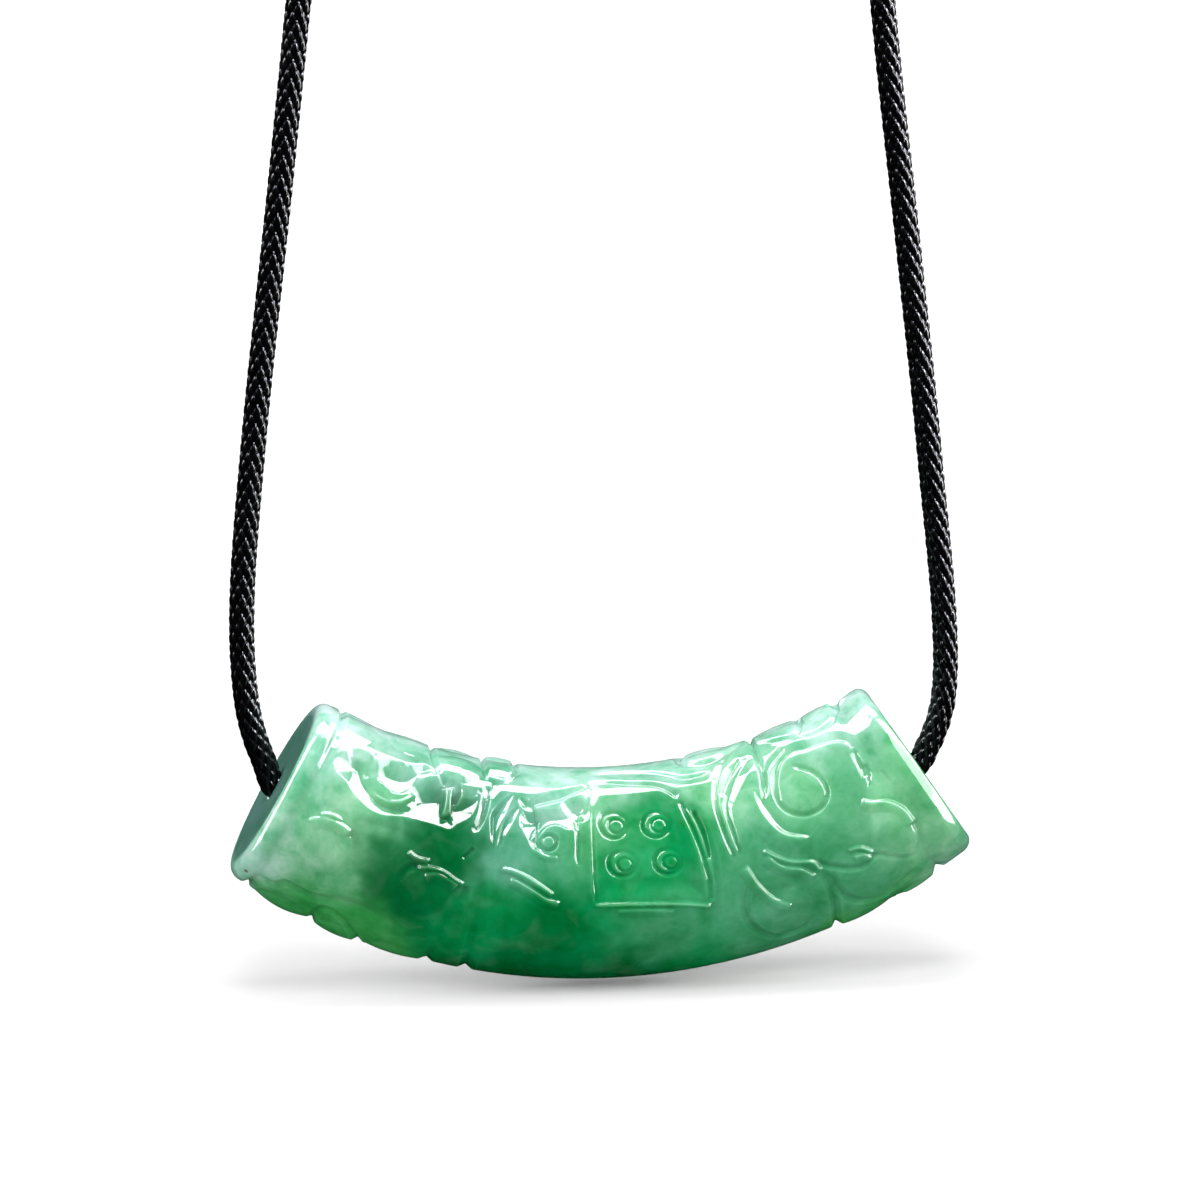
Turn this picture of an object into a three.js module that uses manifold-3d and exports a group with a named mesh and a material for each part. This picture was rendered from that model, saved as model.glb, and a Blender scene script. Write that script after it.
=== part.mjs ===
// A curved, carved stone tube pendant that hangs on a braided cord.
// The cord runs through the tube's bore, rises from both mouths and closes
// over the top as a loop: the two ends lie side by side, pass through one
// sliding knot, and each ends in a stopper knot.
//
// Millimetres, +Z up. X runs along the tube, Y from its front to its back.
// The origin is under the top of the loop, where a bar or hook carries it.
import * as THREE from "three";
import { mergeVertices } from "three/addons/utils/BufferGeometryUtils.js";
import Module from "manifold-3d";

const deg = Math.PI / 180;

// ---- tube -------------------------------------------------------------
const ARC_RADIUS = 45.3; // of the bore's curved centreline
const HALF_ANGLE = 34.1 * deg; // of that arc, from the middle to each end
const LEFT_FACE_TILT = 30.3 * deg; // lean of the end faces from the vertical
const RIGHT_FACE_TILT = 33.9 * deg;
const MID_HALF_HEIGHT = 8.45; // half the section's height, middle
const END_HALF_HEIGHT = 7.75; // and at the end faces
const DEPTH_RATIO = 0.95; // section's depth to its height
const RIM_ROUND = 0.7; // rounding of the end faces' outer rims
const BORE_RADIUS = 1.4;
const MOUTH_RADIUS = 2.2; // the bore opens in a bell at each end
const MOUTH_DEPTH = 2.4;
const TUBE_SEGMENTS = 40; // around the section

// ---- cord -------------------------------------------------------------
const CORD_RADIUS = 1.0;
const CORD_SIDES = 8;
const PART_GAP = 0.3; // clear space between neighbouring pieces

// the loop's top is an arc; centre given from the middle of the mouth axis
const LOOP_X = 0.805;
const LOOP_Z = 60.5;
const LOOP_RADIUS = 22.6;
const STRAND_Y = 1.15; // the two strands lie this far each side of the middle

// each leg's route from its mouth to the loop's arc, as [x, z] from the
// middle of the mouth axis
const LEFT_LEG = [
  [-26.1, 2.0],
  [-26.72, 3.75],
  [-27.2, 5.8],
  [-27.48, 8.4],
  [-27.58, 11.6],
  [-27.45, 15.4],
  [-27.12, 19.4],
  [-26.5, 25.1],
  [-25.76, 31.3],
  [-24.75, 39.0],
  [-23.77, 46.4],
  [-22.75, 54.5],
];
const RIGHT_LEG = [
  [26.15, 1.3],
  [26.85, 2.85],
  [27.42, 4.8],
  [27.68, 7.4],
  [27.7, 10.0],
  [27.58, 13.2],
  [27.35, 16.6],
  [26.85, 22.5],
  [26.28, 29.7],
  [25.57, 37.6],
  [24.9, 45.0],
  [24.05, 54.0],
];
const LEFT_TANGENT = -82.76; // where the legs run into the arc, in degrees from its top
const RIGHT_TANGENT = 84.83;
const SPREAD_END = 64; // the strands lie side by side within this angle
const SPLAY_START = 40; // past this each free end leans away from the other strand
const STRAND_END = 47; // end of the strand, at its stopper knot
const KNOT_ANGLE = 54; // middle of the stopper knot
const KNOT_Y = 2.55;
const KNOT_RADIUS = 2.3;
const KNOT_HALF = 2.0;
const TAIL_RADIUS = 0.95; // the sealed tip beyond the stopper knot
const TAIL_LENGTH = 2.6;

// ---- sliding knot -----------------------------------------------------
const SLIDER_HALF_ANGLE = 12;
const SLIDER_HALF_WIDTH = 3.4; // across both strands
const SLIDER_HALF_HEIGHT = 2.2;
const SLIDER_STEPS = 8;

// ---- colours ----------------------------------------------------------
const JADE = new THREE.Color(0.2, 0.58, 0.34);
const CORD_BLACK = new THREE.Color(0.02, 0.02, 0.022);

const ARC_Z = ARC_RADIUS * Math.cos(HALF_ANGLE); // arc centre above the mouth axis
const HALF_LENGTH = ARC_RADIUS * HALF_ANGLE; // half the centreline's length
const MOUTH_X = ARC_RADIUS * Math.sin(HALF_ANGLE);

const wasm = await Module();
wasm.setup();

function toSolid(geometry) {
  const g = geometry.clone();
  for (const name of Object.keys(g.attributes))
    if (name !== "position") g.deleteAttribute(name);
  const m = mergeVertices(g, 1e-4);
  return new wasm.Manifold(
    new wasm.Mesh({
      numProp: 3,
      vertProperties: new Float32Array(m.attributes.position.array),
      triVerts: new Uint32Array(m.index.array),
    }),
  );
}

function toGeometry(solid) {
  const mesh = solid.getMesh();
  const g = new THREE.BufferGeometry();
  g.setAttribute("position", new THREE.BufferAttribute(mesh.vertProperties, 3));
  g.setIndex(new THREE.BufferAttribute(mesh.triVerts, 1));
  g.computeVertexNormals();
  return g;
}

// the sections stand square to the arc in the middle of the tube and turn
// towards the end faces' own lean at its ends
function sectionLean(angle) {
  const face = angle < 0 ? LEFT_FACE_TILT : RIGHT_FACE_TILT;
  const t = angle / HALF_ANGLE;
  return angle * (1 + (face / HALF_ANGLE - 1) * t * t);
}

// ---- the tube: a barrel of revolution with its bore, bent along the arc
function tubeGeometry() {
  const half = HALF_LENGTH;
  const outer = (s) =>
    MID_HALF_HEIGHT -
    (MID_HALF_HEIGHT - END_HALF_HEIGHT) * (s / half) * (s / half);
  const right = []; // from the middle of the barrel to the middle of the bore
  const stations = 10;
  for (let i = 0; i <= stations; i++) {
    const s = ((half - RIM_ROUND) * i) / stations;
    right.push([outer(s), s]);
  }
  const top = outer(half - RIM_ROUND);
  for (let i = 1; i <= 4; i++) {
    const a = (i / 4) * 90 * deg;
    right.push([
      top - RIM_ROUND * (1 - Math.cos(a)),
      half - RIM_ROUND * (1 - Math.sin(a)),
    ]);
  }
  for (let i = 0; i <= 4; i++) {
    const a = (1 - i / 4) * 90 * deg;
    right.push([
      MOUTH_RADIUS - (MOUTH_RADIUS - BORE_RADIUS) * Math.cos(a),
      half - MOUTH_DEPTH * (1 - Math.sin(a)),
    ]);
  }
  const boreSteps = 7;
  for (let i = 1; i < boreSteps; i++)
    right.push([BORE_RADIUS, (half - MOUTH_DEPTH) * (1 - i / boreSteps)]);
  right.push([BORE_RADIUS, 0]);
  const profile = right.map(([r, s]) => new THREE.Vector2(r, s));
  for (let i = right.length - 2; i > 0; i--)
    profile.push(new THREE.Vector2(right[i][0], -right[i][1]));
  profile.push(profile[0].clone());
  const g = new THREE.LatheGeometry(profile, TUBE_SEGMENTS);
  const p = g.attributes.position;
  const v = new THREE.Vector3();
  for (let i = 0; i < p.count; i++) {
    v.fromBufferAttribute(p, i);
    const r = Math.hypot(v.x, v.z);
    const ratio = r > MOUTH_RADIUS + 0.01 ? DEPTH_RATIO : 1;
    const angle = v.y / ARC_RADIUS;
    const lean = sectionLean(angle);
    p.setXYZ(
      i,
      ARC_RADIUS * Math.sin(angle) - v.z * Math.sin(lean),
      -v.x * ratio,
      ARC_Z - ARC_RADIUS * Math.cos(angle) + v.z * Math.cos(lean),
    );
  }
  g.computeVertexNormals();
  return g;
}

// ---- cord: an eight-sided tube along a smooth route
function cordShape() {
  const shape = new THREE.Shape();
  for (let i = 0; i < CORD_SIDES; i++) {
    const a = ((i + 0.5) / CORD_SIDES) * 2 * Math.PI;
    const x = CORD_RADIUS * Math.cos(a);
    const y = CORD_RADIUS * Math.sin(a);
    if (i === 0) shape.moveTo(x, y);
    else shape.lineTo(x, y);
  }
  shape.closePath();
  return shape;
}

function cordGeometry(points, steps) {
  const path = new THREE.CatmullRomCurve3(points, false, "centripetal");
  path.arcLengthDivisions = 1200;
  return new THREE.ExtrudeGeometry(cordShape(), { steps, extrudePath: path });
}

function onBore(angle) {
  return new THREE.Vector3(
    ARC_RADIUS * Math.sin(angle),
    0,
    ARC_Z - ARC_RADIUS * Math.cos(angle),
  );
}

function onLoop(angleDeg, y) {
  const a = angleDeg * deg;
  return new THREE.Vector3(
    LOOP_X + LOOP_RADIUS * Math.sin(a),
    y,
    LOOP_Z + LOOP_RADIUS * Math.cos(a),
  );
}

const ease = (t) => {
  const c = Math.min(1, Math.max(0, t));
  return c * c * (3 - 2 * c);
};

// side -1 is the left strand, +1 the right one
function strandPoints(side) {
  const leg = side < 0 ? LEFT_LEG : RIGHT_LEG;
  const tangent = Math.abs(side < 0 ? LEFT_TANGENT : RIGHT_TANGENT);
  const points = [
    onBore(side * (HALF_ANGLE - 2.6 * deg)),
    onBore(side * HALF_ANGLE),
  ];
  for (const [x, z] of leg) points.push(new THREE.Vector3(x, 0, z));
  for (let a = tangent; a > -STRAND_END - 1; a -= 6) {
    const at = Math.max(a, -STRAND_END);
    let y = STRAND_Y * ease((tangent - at) / (tangent - SPREAD_END));
    y += (KNOT_Y - STRAND_Y) * ease((-at - SPLAY_START) / (STRAND_END - SPLAY_START));
    points.push(onLoop(side * at, side * y));
    if (at === -STRAND_END) break;
  }
  const last = points[points.length - 1];
  const end = onLoop(-side * STRAND_END, side * KNOT_Y);
  if (last.distanceTo(end) > 0.05) points.push(end);
  return points;
}

// the strand ends and the cord in the bore are cut square to the mouth axis,
// so that the tube can roll between them
function cutBeyond(geometry, x, side) {
  const block = new THREE.BoxGeometry(10, 10, 10);
  block.translate(x + side * 5, 0, -1);
  return toGeometry(toSolid(geometry).subtract(toSolid(block)));
}

function strandGeometry(side) {
  return cutBeyond(
    cordGeometry(strandPoints(side), 62),
    side * (MOUTH_X + PART_GAP / 2),
    -side,
  );
}

function boreCordGeometry() {
  const points = [];
  const end = HALF_ANGLE + 2 * deg;
  for (let i = -6; i <= 6; i++) points.push(onBore((i / 6) * end));
  let g = cordGeometry(points, 16);
  for (const side of [-1, 1])
    g = cutBeyond(g, side * (MOUTH_X - PART_GAP / 2), side);
  return g;
}

// ---- knots
function stopKnotGeometry() {
  const r = KNOT_RADIUS;
  const h = KNOT_HALF;
  const profile = [
    [0, -h],
    [0.55 * r, -0.95 * h],
    [0.88 * r, -0.62 * h],
    [r, 0],
    [0.88 * r, 0.62 * h],
    [TAIL_RADIUS, 0.95 * h],
    [TAIL_RADIUS, h + TAIL_LENGTH - 0.4],
    [0.6 * TAIL_RADIUS, h + TAIL_LENGTH],
    [0, h + TAIL_LENGTH],
  ].map(([x, y]) => new THREE.Vector2(x, y));
  return new THREE.LatheGeometry(profile, 16);
}

function stadium(halfWidth, halfHeight, Path) {
  const path = new Path();
  const flat = halfWidth - halfHeight;
  const n = 6;
  for (let i = 0; i < 2 * (n + 1); i++) {
    const right = i <= n;
    const k = right ? i : i - n - 1;
    const a = (right ? -90 : 90) * deg + (k / n) * Math.PI;
    // first axis lies along the loop's radius, second across the strands
    const across = (right ? flat : -flat) + halfHeight * Math.cos(a);
    const radial = -halfHeight * Math.sin(a);
    if (i === 0) path.moveTo(radial, across);
    else path.lineTo(radial, across);
  }
  path.closePath();
  return path;
}

function sliderGeometry() {
  const n = SLIDER_STEPS;
  const outer = stadium(SLIDER_HALF_WIDTH, SLIDER_HALF_HEIGHT, THREE.Shape);
  outer.holes.push(
    stadium(
      STRAND_Y + CORD_RADIUS + PART_GAP,
      CORD_RADIUS + PART_GAP,
      THREE.Path,
    ),
  );
  const flat = new THREE.ExtrudeGeometry(outer, {
    steps: n,
    depth: 1,
    bevelEnabled: false,
  });
  // laid along the loop's arc: shape x is the radius, shape y runs across
  const p = flat.attributes.position;
  const v = new THREE.Vector3();
  for (let i = 0; i < p.count; i++) {
    v.fromBufferAttribute(p, i);
    const a = (v.z * 2 - 1) * SLIDER_HALF_ANGLE * deg;
    const arm = LOOP_RADIUS + v.x;
    p.setXYZ(
      i,
      LOOP_X + arm * Math.sin(a),
      -v.y,
      LOOP_Z + arm * Math.cos(a),
    );
  }
  return flat;
}

// ---- assembly
const pendant = new THREE.Group();
const fromMouthAxis = new THREE.Group();
fromMouthAxis.position.set(
  -LOOP_X,
  0,
  -(LOOP_Z + LOOP_RADIUS - CORD_RADIUS),
);
pendant.add(fromMouthAxis);

function place(name, geometry, color, roughness) {
  const mesh = new THREE.Mesh(
    geometry,
    new THREE.MeshStandardMaterial({ color, roughness, metalness: 0 }),
  );
  mesh.name = name;
  fromMouthAxis.add(mesh);
  return mesh;
}

place("jade_tube", tubeGeometry(), JADE, 0.12);
place("cord_in_bore", boreCordGeometry(), CORD_BLACK, 0.35);
place("left_cord", strandGeometry(-1), CORD_BLACK, 0.35);
place("right_cord", strandGeometry(1), CORD_BLACK, 0.35);
place("slide_knot", sliderGeometry(), CORD_BLACK, 0.4);
for (const [name, side] of [
  ["left_stop_knot", -1],
  ["right_stop_knot", 1],
]) {
  const knot = place(name, stopKnotGeometry(), CORD_BLACK, 0.4);
  knot.position.copy(onLoop(-side * KNOT_ANGLE, side * KNOT_Y));
  // its axis follows the strand, pointing away from the loop's top
  const a = -side * KNOT_ANGLE * deg;
  const along = new THREE.Vector3(Math.cos(a), 0, -Math.sin(a)).multiplyScalar(
    -side,
  );
  knot.quaternion.setFromUnitVectors(new THREE.Vector3(0, 1, 0), along);
}

export default pendant;
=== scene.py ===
import bpy
import math
import numpy as np
from mathutils import Matrix, Vector, noise as noise_field


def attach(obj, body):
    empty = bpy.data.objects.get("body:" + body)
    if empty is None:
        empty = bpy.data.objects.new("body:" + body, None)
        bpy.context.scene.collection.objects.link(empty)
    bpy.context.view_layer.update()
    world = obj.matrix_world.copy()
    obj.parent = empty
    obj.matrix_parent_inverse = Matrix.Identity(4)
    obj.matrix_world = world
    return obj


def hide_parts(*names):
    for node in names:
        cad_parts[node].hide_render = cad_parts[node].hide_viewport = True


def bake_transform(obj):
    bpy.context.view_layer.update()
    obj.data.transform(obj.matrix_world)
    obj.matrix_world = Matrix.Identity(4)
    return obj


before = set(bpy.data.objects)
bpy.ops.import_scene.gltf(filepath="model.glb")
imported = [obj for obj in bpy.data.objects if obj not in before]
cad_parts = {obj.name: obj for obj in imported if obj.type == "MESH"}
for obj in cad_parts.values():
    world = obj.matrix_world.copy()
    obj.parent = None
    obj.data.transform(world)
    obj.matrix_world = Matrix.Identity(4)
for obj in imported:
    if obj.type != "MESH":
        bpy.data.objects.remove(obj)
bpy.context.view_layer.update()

MM = 0.001
DEG = math.pi / 180.0

# ---------------------------------------------------------------------------
# the object's own dimensions, in millimetres, about the middle of the mouth axis
# ---------------------------------------------------------------------------
ARC_RADIUS = 45.3
HALF_ANGLE = 34.1 * DEG
LEFT_FACE_TILT = 30.3 * DEG
RIGHT_FACE_TILT = 33.9 * DEG
DEPTH_RATIO = 0.95
ARC_Z = ARC_RADIUS * math.cos(HALF_ANGLE)
HALF_LENGTH = ARC_RADIUS * HALF_ANGLE
MOUTH_X = ARC_RADIUS * math.sin(HALF_ANGLE)
BODY_MID = 8.33          # half height of the stone before carving, middle
BODY_END = 7.66          # and at the end faces
RIM_ROUND = 0.95
BORE = 1.28
MOUTH = 1.62

CORD_RADIUS = 1.0
LOOP_X, LOOP_Z, LOOP_RADIUS = 0.805, 60.5, 22.6
STRAND_Y = 1.15
LEFT_LEG = [(-26.1, 2.0), (-26.72, 3.75), (-27.2, 5.8), (-27.48, 8.4), (-27.58, 11.6), (-27.45, 15.4),
            (-27.12, 19.4), (-26.5, 25.1), (-25.76, 31.3), (-24.75, 39.0), (-23.77, 46.4), (-22.75, 54.5)]
RIGHT_LEG = [(26.15, 1.3), (26.85, 2.85), (27.42, 4.8), (27.68, 7.4), (27.7, 10.0), (27.58, 13.2),
             (27.35, 16.6), (26.85, 22.5), (26.28, 29.7), (25.57, 37.6), (24.9, 45.0), (24.05, 54.0)]
LEFT_TANGENT, RIGHT_TANGENT = 82.76, 84.83
SPREAD_END, SPLAY_START, STRAND_END, KNOT_ANGLE = 64.0, 40.0, 47.0, 54.0
KNOT_Y = 2.55
SLIDER_HALF_ANGLE = 12.0

# from the mouth axis to the shared frame
SHIFT = np.array([-LOOP_X, 0.0, -(LOOP_Z + LOOP_RADIUS - CORD_RADIUS)])

# ---------------------------------------------------------------------------
# camera: level with the tube and a little above it, from slightly left
# ---------------------------------------------------------------------------
CAM_POS = np.array([-55.050, -689.251, 36.864])
CAM_RIGHT = np.array([0.9964503, -0.08166751, -0.02042606])
CAM_UP = np.array([0.03288801, 0.15429629, 0.98747711])
CAM_FWD = np.array([0.07749313, 0.98464363, -0.15643447])
FOCAL_PX = 700.0 / 0.0784          # on a picture 1200 wide
CENTRE_X, CENTRE_Y = 600.0 - 5.787, 600.0 + 56.035
FACET_TILT = 58.5                  # the elevation at which a polished face shows the light to the camera


def to_picture(points):
    """Points in mm about the mouth axis to the place where the camera sees them, on a picture 1200 wide."""
    d = np.asarray(points, float) + SHIFT - CAM_POS
    z = d @ CAM_FWD
    return np.stack([CENTRE_X + FOCAL_PX * (d @ CAM_RIGHT) / z, CENTRE_Y - FOCAL_PX * (d @ CAM_UP) / z], -1)


def make_camera():
    data = bpy.data.cameras.new("camera")
    cam = bpy.data.objects.new("camera", data)
    bpy.context.scene.collection.objects.link(cam)
    fwd = (CAM_FWD + CAM_RIGHT * ((600.0 - CENTRE_X) / FOCAL_PX) - CAM_UP * ((600.0 - CENTRE_Y) / FOCAL_PX))
    fwd /= np.linalg.norm(fwd)
    right = CAM_RIGHT - fwd * (CAM_RIGHT @ fwd)
    right /= np.linalg.norm(right)
    up = np.cross(right, fwd)
    m = np.eye(4)
    m[:3, 0], m[:3, 1], m[:3, 2], m[:3, 3] = right, up, -fwd, CAM_POS * MM
    cam.matrix_world = Matrix(m.tolist())
    data.sensor_width = 36.0
    data.sensor_fit = "HORIZONTAL"
    data.lens = FOCAL_PX / 1200.0 * 36.0
    data.clip_start, data.clip_end = 0.01, 50.0
    data.dof.use_dof = False
    bpy.context.scene.camera = cam


# ---------------------------------------------------------------------------
# small helpers
# ---------------------------------------------------------------------------
def smooth(x):
    x = np.clip(x, 0.0, 1.0)
    return x * x * (3.0 - 2.0 * x)


def linear(r, g, b):
    """A colour given as 0 to 255 on screen, as the linear numbers that shaders take."""
    def one(c):
        c /= 255.0
        return c / 12.92 if c <= 0.04045 else ((c + 0.055) / 1.055) ** 2.4
    return (one(r), one(g), one(b))


def catmull(points, per=12):
    """A smooth centripetal curve through points."""
    p = [np.asarray(q, float) for q in points]
    p = [2 * p[0] - p[1]] + p + [2 * p[-1] - p[-2]]
    out = []
    for i in range(1, len(p) - 2):
        p0, p1, p2, p3 = p[i - 1], p[i], p[i + 1], p[i + 2]
        t0 = 0.0
        t1 = t0 + max(np.linalg.norm(p1 - p0), 1e-6) ** 0.5
        t2 = t1 + max(np.linalg.norm(p2 - p1), 1e-6) ** 0.5
        t3 = t2 + max(np.linalg.norm(p3 - p2), 1e-6) ** 0.5
        for k in range(per):
            t = t1 + (t2 - t1) * k / per
            a1 = (t1 - t) / (t1 - t0) * p0 + (t - t0) / (t1 - t0) * p1
            a2 = (t2 - t) / (t2 - t1) * p1 + (t - t1) / (t2 - t1) * p2
            a3 = (t3 - t) / (t3 - t2) * p2 + (t - t2) / (t3 - t2) * p3
            b1 = (t2 - t) / (t2 - t0) * a1 + (t - t0) / (t2 - t0) * a2
            b2 = (t3 - t) / (t3 - t1) * a2 + (t - t1) / (t3 - t1) * a3
            out.append((t2 - t) / (t2 - t1) * b1 + (t - t1) / (t2 - t1) * b2)
    out.append(p[-2])
    return np.array(out)


def resample(points, step):
    points = np.asarray(points, float)
    seg = np.linalg.norm(np.diff(points, axis=0), axis=1)
    at = np.concatenate([[0.0], np.cumsum(seg)])
    n = max(2, int(round(at[-1] / step)) + 1)
    want = np.linspace(0.0, at[-1], n)
    return np.stack([np.interp(want, at, points[:, k]) for k in range(points.shape[1])], -1), want


def new_mesh(name, verts_mm, quads, tris=()):
    mesh = bpy.data.meshes.new(name)
    mesh.from_pydata([tuple(v) for v in (np.asarray(verts_mm) * MM).tolist()], [], [tuple(q) for q in quads] + [tuple(t) for t in tris])
    mesh.polygons.foreach_set("use_smooth", [True] * len(mesh.polygons))
    mesh.update()
    obj = bpy.data.objects.new(name, mesh)
    bpy.context.scene.collection.objects.link(obj)
    return obj


def add_float(obj, name, values):
    a = obj.data.attributes.new(name, "FLOAT", "POINT")
    a.data.foreach_set("value", np.asarray(values, np.float32))


def add_colour(obj, name, rgb):
    a = obj.data.attributes.new(name, "FLOAT_COLOR", "POINT")
    rgba = np.concatenate([np.asarray(rgb, np.float32), np.ones((len(rgb), 1), np.float32)], 1)
    a.data.foreach_set("color", rgba.ravel())


def add_map(obj, uv):
    """A map for baked textures, one place for each corner of each face."""
    layer = obj.data.uv_layers.new(name="OFBake")
    layer.uv.foreach_set("vector", np.asarray(uv, np.float32).ravel())


# ---------------------------------------------------------------------------
# the stone's body, before carving
# ---------------------------------------------------------------------------
def section_lean(angle):
    face = np.where(angle < 0, LEFT_FACE_TILT, RIGHT_FACE_TILT)
    t = angle / HALF_ANGLE
    return angle * (1.0 + (face / HALF_ANGLE - 1.0) * t * t)


def half_height(s):
    return BODY_MID - (BODY_MID - BODY_END) * (s / HALF_LENGTH) ** 2


def body_point(s, t, rho):
    """s along the centreline, t round the section (0 on top, 90 degrees in front), rho the radius."""
    angle = s / ARC_RADIUS
    lean = section_lean(angle)
    ratio = 1.0 + (DEPTH_RATIO - 1.0) * np.clip((rho - 2.0) / 5.0, 0.0, 1.0)
    rz = rho * np.cos(t)
    return np.stack([ARC_RADIUS * np.sin(angle) - rz * np.sin(lean),
                     -ratio * rho * np.sin(t),
                     ARC_Z - ARC_RADIUS * np.cos(angle) + rz * np.cos(lean)], -1)


def net_of_front():
    s = np.linspace(-HALF_LENGTH, HALF_LENGTH, 181)
    t = np.linspace(-9.0, 171.0, 121) * DEG
    ss, tt = np.meshgrid(s, t, indexing="ij")
    return ss.ravel(), tt.ravel(), to_picture(body_point(ss, tt, half_height(ss)).reshape(-1, 3))


NET = net_of_front()


def find_on_body(places):
    """Places on the picture to (s, t) on the front of the uncarved body: the nearest place of a fine net, then refined."""
    places = np.asarray(places, float)
    near = np.array([int(np.argmin(((NET[2] - q) ** 2).sum(1))) for q in places])
    s, t = NET[0][near].copy(), NET[1][near].copy()

    def see(a, b):
        return to_picture(body_point(a, b, half_height(a)))
    for _ in range(4):
        now = see(s, t)
        js, jt = (see(s + 0.02, t) - now) / 0.02, (see(s, t + 0.002) - now) / 0.002
        det = js[:, 0] * jt[:, 1] - js[:, 1] * jt[:, 0]
        e = places - now
        ds = (e[:, 0] * jt[:, 1] - e[:, 1] * jt[:, 0]) / np.where(np.abs(det) < 1e-9, 1e-9, det)
        dt = (js[:, 0] * e[:, 1] - js[:, 1] * e[:, 0]) / np.where(np.abs(det) < 1e-9, 1e-9, det)
        fine = (np.abs(ds) < 1.0) & (np.abs(dt) < 0.12)
        s = np.clip(s + np.where(fine, ds, 0.0), -HALF_LENGTH, HALF_LENGTH)
        t = np.clip(t + np.where(fine, dt, 0.0), -9.0 * DEG, 171.0 * DEG)
    return s, t


def to_surface(places):
    s, t = find_on_body(places)
    return body_point(s, t, half_height(s))


# ---------------------------------------------------------------------------
# carving tools. Each adds to the height of the surface, in mm. Curves are drawn
# on sheets, each an enlarged part of the front view.
# ---------------------------------------------------------------------------
class Sheet:
    def __init__(self, x, y, k):
        self.x, self.y, self.k = x, y, k

    def __call__(self, *points):
        return [(self.x + px / self.k, self.y + py / self.k) for px, py in points]


SHEET_L = Sheet(225.0, 690.0, 6.031)
SHEET_M = Sheet(470.0, 730.0, 6.031)
SHEET_R = Sheet(715.0, 680.0, 5.807)
SHEET_T = Sheet(640.0, 680.0, 7.127)


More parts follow.
